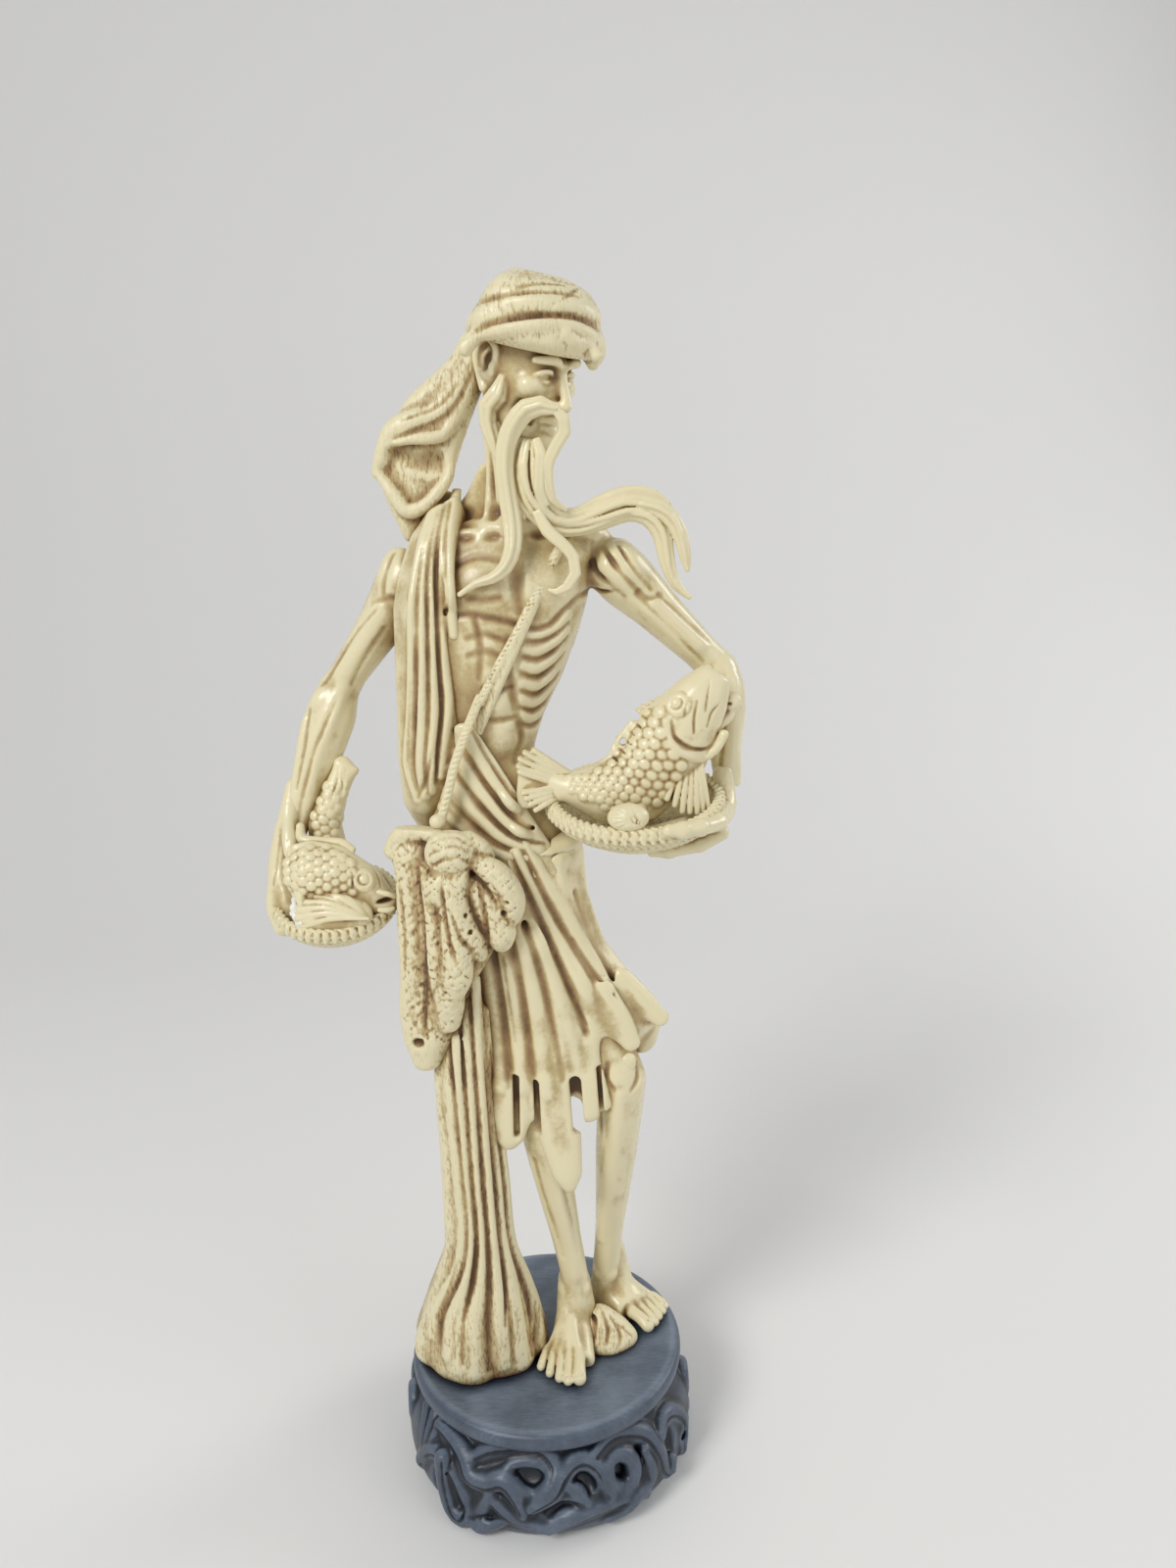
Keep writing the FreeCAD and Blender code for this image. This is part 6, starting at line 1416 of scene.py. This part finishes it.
# Height and radius of the block under the plate, and the limits within which its scrolls stay
BLOCK_PROFILE = ((0, 48), (3, 50.6), (9, 52), (16, 52), (22, 51), (27, 47.4), (31, 44), (36, 43.6))
BLOCK_RADIUS = 53.0
SCROLL_FLOOR = 2.0
SCROLL_CEILING = 34.0
# Scrolls are laid thicker and flatter than they are read, with a fine groove along the wide ones
SCROLL_GIRTH_SHARE = 1.5
SCROLL_PROUD_SHARE = 0.8
WIDE_SCROLL = 3.0
SCROLL_GROOVE = 0.6
SCROLL_GROOVE_OUT_SHARE = 0.86
SCROLL_GROOVE_SIDE_SHARE = 0.5
# Grounds sunk between the scrolls, and chips: a reading and three radii, then a depth
GROUNDS = (
    ((-10, -24), (7.6, 7, 5), 3.4), ((26.3, -22.2), (4.2, 4.6, 5), 5), ((12, -27), (5, 6, 5), 3.6),
    ((-24, -31), (3.6, 3, 4), 3.4), ((45, -9), (4, 7, 4), 2.4), ((3, -40), (7, 4, 4), 3.2),
    ((-44.6, -26), (2.4, 8, 4), 3.6), ((-34, -8), (3, 4, 4), 2.4), ((34, -15), (3.4, 4.4, 4), 3.2),
    ((33, -43), (6, 3.4, 5), 4.5),
)
CHIPS = (
    ((-3, -49), (2.2, 1.6, 2)), ((21, -45.6), (2.4, 1.6, 2)), ((40, -40), (2.2, 1.8, 2)),
    ((49.6, -6), (1.4, 2, 2)),
)
CHIP_DEPTH = 1.8
# Readings of each scroll, its girths and how proud it stands
SCROLLS = (
    ([(-29.3, -13.2), (-24.3, -10), (-17.8, -8.8), (-9.8, -8.6), (-2.7, -11.7), (1.1, -18), (0.8, -24.8),
      (-1.8, -30.5), (-7.7, -36.1)], (1.6, 2.4, 2.8, 2.8, 2.6, 2.4, 2.2, 2, 1.2), 2.6),
    ([(-42.1, 1.4), (-36.9, -5.3), (-33.3, -13.1), (-31.4, -22), (-25.8, -25.3), (-19.3, -24.6),
      (-14.8, -31), (-11.9, -39.7)], (1.4, 2.8, 3, 2.4, 2.4, 2.6, 2.2, 1), 3.0),
    ([(-18.4, -21.2), (-15.8, -17.5), (-10.1, -16.2), (-3.8, -17.9), (-1.1, -22.8), (-2.5, -28.5),
      (-7.5, -32.2), (-13, -30)], 1.3, 1.4),
    ([(-8.5, -37.1), (-1, -31.5), (3.3, -22.9), (8.4, -16.8), (14, -16.5), (18.7, -22), (21.7, -32.2)],
     (1.6, 2.4, 2.6, 2.6, 2.4, 2, 1.2), 2.8),
    ([(6.2, -28.6), (9.5, -31.8), (12.8, -35.8)], (0.9, 1.8, 0.8), 1.6),
    ([(21, -25.4), (21, -18.7), (24.5, -14), (29.3, -14.7), (31.6, -20), (30.7, -26.7), (26.2, -30.5),
      (22.2, -28.4), (21, -25)], 2.0, 2.4),
    ([(16, -14.7), (21.5, -6.3), (28.7, -3.7), (35.9, -5.4), (40.6, -13.1), (42.9, -20.9), (46.8, -22.5),
      (49, -18.7)], (1.2, 2.4, 2.8, 2.8, 2.4, 2.2, 2, 1.4), 2.8),
    ([(-2.4, -47), (5.1, -43.6), (13.3, -39.6), (23.2, -35), (31.4, -31), (36.8, -26), (37.7, -19.3),
      (35.4, -13)], (1.8, 2.4, 2.6, 2.8, 2.8, 2.4, 2, 1.2), 3.0),
    ([(-23.8, -33), (-17.7, -40), (-9.7, -45), (-2.8, -47)], (1.6, 2.2, 2.2, 1.8), 2.6),
    ([(-50, -14), (-46.7, -9.3), (-42, -11.8), (-37, -21.6), (-33.8, -31.4), (-32.2, -39), (-36.6, -43),
      (-44, -40.6), (-48.6, -31), (-49.4, -20)], 2.2, 2.6),
    ([(-32, -39), (-27.4, -36.4), (-24.6, -29.8)], (1.8, 1.8, 1.0), 2.2),
)
LAST_SCROLLS = (
    ([(41.5, -5.1), (42.6, 2), (46, 4.6), (49.6, 1.6), (50, -4), (49.4, -12)],
     (1.6, 2.2, 2.4, 2.2, 2.2, 1.6), 2.8),
    ([(21.4, -43), (30.4, -39.6), (36.2, -36.6), (41, -38.6)], (1.4, 2, 2, 1.4), 2.2),
    ([(-36, 3), (-28, -4), (-20, -5.4)], (0.7, 1.2, 0.6), 0.9),
)
# Blades of the leaf at the right foot, by how far across each starts
LEAF_BLADES = (0, 2.4, 4.8, 7.2)
STEM_TOPS = (((-46.4, 10.6), (-49, -14)), ((-43.6, 7.2), (-48.6, -14)), ((-40.6, 4.3), (-48.2, -14)))
# Curls on the flanks, between the front and the back: the way they lie, in degrees, and their height
FLANK_CURLS = ((171, 21), (178, 11), (188, 20), (-9, 10), (1, 20), (11, 9))
CURL_GIRTH = 2.3
ARCH_HEIGHT = 2.2
ARCH_COUNT = 5
ARCH_INNER_RADIUS = 46.5
# The plate: the flat of its top, its middle height, the flat of its edge and the round of the edge
PLATE_FLAT_RADIUS = 46.5
PLATE_MIDDLE = 36.5
PLATE_FLAT_EDGE = 0.6
PLATE_ROUND = 2.9


def make_stand():
    clay = Clay(STAND_LOW, STAND_HIGH)
    clay.turned(BLOCK_PROFILE, soften=2.0)
    base = Clay(STAND_LOW, STAND_HIGH)
    base.field = clay.field.copy()

    def carve(readings, radius, proud, blend=1.5):
        """Lay a scroll on the front of the block, and the same again on the back."""
        places = base.lay(readings)
        spread = np.hypot(places[:, 0], places[:, 1])
        places[:, :2] *= np.minimum(1, BLOCK_RADIUS / np.maximum(spread, 1))[:, None]
        places[:, 2] = np.clip(places[:, 2], SCROLL_FLOOR, SCROLL_CEILING)
        girth = np.broadcast_to(np.array(radius, dtype=float) * SCROLL_GIRTH_SHARE, len(places))
        places = places + base.normals(places) * (proud * SCROLL_PROUD_SHARE - girth)[:, None]
        out = base.normals(places)
        side = np.cross(np.gradient(places, axis=0), out)
        side = side / length_of(side)
        line = places + (out * SCROLL_GROOVE_OUT_SHARE + side * SCROLL_GROOVE_SIDE_SHARE) * girth[:, None]
        for sign in (1, -1):
            clay.stroke(places * (sign, sign, 1), girth, blend)
            if girth.max() > WIDE_SCROLL:
                clay.stroke(line * (sign, sign, 1), SCROLL_GROOVE, SCROLL_GROOVE, cut=True)

    def dish(reading, size, depth):
        """Sink a hollow into the front of the block, and the same again into the back."""
        place = base.lay([reading])
        out = base.normals(place)[0]
        side = np.cross((0, 0, 1), out)
        for sign in (1, -1):
            turn = np.array((side, np.cross(out, side), out)) * (sign, sign, 1)
            clay.blob((place[0] + out * (size[2] - depth)) * (sign, sign, 1), size, turn, 0.8, cut=True)

    for ground in GROUNDS:
        dish(*ground)
    for scroll in SCROLLS:
        carve(*scroll)
    for across in LEAF_BLADES:
        blade = [(-36 + across, -46.4 + across * 0.1), (-29.4 + across * 0.6, -48.6 + across * 0.35),
                 (-21 + across * 0.3, -44.6 + across * 0.3)]
        carve(blade, 1.1, 1.6, 0.4)
    for top, end in STEM_TOPS:
        middle = ((top[0] + end[0]) / 2 - 0.4, (top[1] + end[1]) / 2)
        carve([top, middle, end], (1.8, 1.7, 0.6), 2.0, 0.5)
    for scroll in LAST_SCROLLS:
        carve(*scroll)
    for degrees, height in FLANK_CURLS:
        turn = math.radians(degrees)
        centre = np.array((math.cos(turn) * 50, math.sin(turn) * 50, height))
        aside = np.array((-math.sin(turn), math.cos(turn), 0)) * 4.6
        curl = [centre + aside * math.cos(a) + (0, 0, 4.2 * math.sin(a)) for a in np.linspace(0, 5.2, 8)]
        clay.stroke(curl, CURL_GIRTH, 1.5)
    # Open arches at the floor
    where, (x, y, z) = clay.window(STAND_LOW, (60, 60, 6), 0)
    arch = ARCH_HEIGHT * np.maximum(np.cos(np.arctan2(y, x) * ARCH_COUNT + 0.6), 0)
    inner = ARCH_INNER_RADIUS - np.sqrt(x * x + y * y)
    clay.blend_in(where, np.maximum(z - arch, inner), 0.8, True)
    for chip in CHIPS:
        dish(*chip, CHIP_DEPTH)
    clay.trim(STAND_LOW, (60, 60, 1), lambda x, y, z: z, 0)
    piece_from(clay, "stand_carving", ["stand_drum", "stand_scrollwork"], SLATE)

    # The plate, its thick rounded edge and the flat top, to which the slate paint gives a painted highlight
    clay = Clay((-54, -54, 30), (54, 54, 44))
    where, (x, y, z) = clay.window((-54, -54, 30), (54, 54, 44), 0)
    out = np.maximum(np.sqrt(x * x + y * y) - PLATE_FLAT_RADIUS, 0)
    up = np.maximum(np.abs(z - PLATE_MIDDLE) - PLATE_FLAT_EDGE, 0)
    clay.field[where] = np.sqrt(out * out + up * up) - PLATE_ROUND
    clay.trim((-54, -54, 39), (54, 54, 44), lambda x, y, z: STAND_TOP - z, 0.4)
    piece_from(clay, "stand_disc", ["stand_plate"], SLATE)


make_stand()


# The stage


FLOOR_HALF_WIDTH = 3.0
FLOOR_FRONT = -2.2
SWEEP_START = 0.5
SWEEP_RADIUS = 0.6
SWEEP_STEPS = 16
BACKDROP_HEIGHT = 2.6
FLOOR_COLOUR = (0.84, 0.83, 0.81, 1)
LAMP_AIM = (0, 0, 0.22)
# Each lamp's place, width and power
LAMPS = {
    "key": ((-0.7, -0.9, 1.1), 0.5, 11.0),
    "fill": ((1.0, -0.8, 0.6), 0.9, 2.4),
    "rim": ((1.1, 0.4, 0.7), 0.5, 4.0),
}
STUDIO_COLOUR = (0.92, 0.94, 0.97, 1)
STUDIO_STRENGTH = 0.42


def make_stage():
    """A pale floor that sweeps up into a backdrop."""
    profile = [(FLOOR_FRONT, 0.0)]
    for step in range(SWEEP_STEPS + 1):
        angle = math.pi / 2 * step / SWEEP_STEPS
        back, height = SWEEP_RADIUS * math.sin(angle), SWEEP_RADIUS - SWEEP_RADIUS * math.cos(angle)
        profile.append((SWEEP_START + back, height))
    profile.append((SWEEP_START + SWEEP_RADIUS, BACKDROP_HEIGHT))
    places, faces = [], []
    for step, (back, height) in enumerate(profile):
        places += [(-FLOOR_HALF_WIDTH, back, height), (FLOOR_HALF_WIDTH, back, height)]
        if step:
            faces.append((2 * step - 2, 2 * step - 1, 2 * step + 1, 2 * step))
    mesh = bpy.data.meshes.new("sweep")
    mesh.from_pydata(places, [], faces)
    mesh.shade_smooth()
    mesh.materials.append(Paint("sweep").shade({"Base Color": FLOOR_COLOUR, "Roughness": 0.8}))
    sweep = bpy.data.objects.new("sweep", mesh)
    bpy.context.collection.objects.link(sweep)


def light_scene():
    for name, (place, width, power) in LAMPS.items():
        lamp = bpy.data.lights.new(name, "AREA")
        lamp.size, lamp.energy = width, power
        holder = bpy.data.objects.new(name, lamp)
        holder.location = place
        holder.rotation_euler = (Vector(LAMP_AIM) - Vector(place)).to_track_quat("-Z", "Y").to_euler()
        bpy.context.collection.objects.link(holder)
    world = bpy.data.worlds.new("studio")
    bpy.context.scene.world = world
    world.use_nodes = True
    background = world.node_tree.nodes["Background"]
    background.inputs["Color"].default_value = STUDIO_COLOUR
    background.inputs["Strength"].default_value = STUDIO_STRENGTH


def place_camera():
    """The photograph's own view: from above, and leaning a little to one side."""
    camera = bpy.data.cameras.new("camera")
    camera.lens, camera.sensor_width, camera.sensor_fit = CAMERA_LENS, CAMERA_SENSOR, "AUTO"
    holder = bpy.data.objects.new("camera", camera)
    bpy.context.collection.objects.link(holder)
    look = Vector((0, math.cos(CAMERA_PITCH), -math.sin(CAMERA_PITCH)))
    level_up = Vector((0, math.sin(CAMERA_PITCH), math.cos(CAMERA_PITCH)))
    right = Vector((1, 0, 0)) * math.sqrt(1 - CAMERA_LEAN**2) - level_up * CAMERA_LEAN
    pose = Matrix((right, right.cross(look), -look)).transposed().to_4x4()
    pose.translation = EYE * MM
    holder.matrix_world = pose
    bpy.context.scene.camera = holder
    bpy.context.scene.view_settings.view_transform = "Standard"


# Recess and shelter on every point, for the painted shade and the stain
shelter_for_stain_and_shade()
finish_pegs()
make_stage()
light_scene()
place_camera()
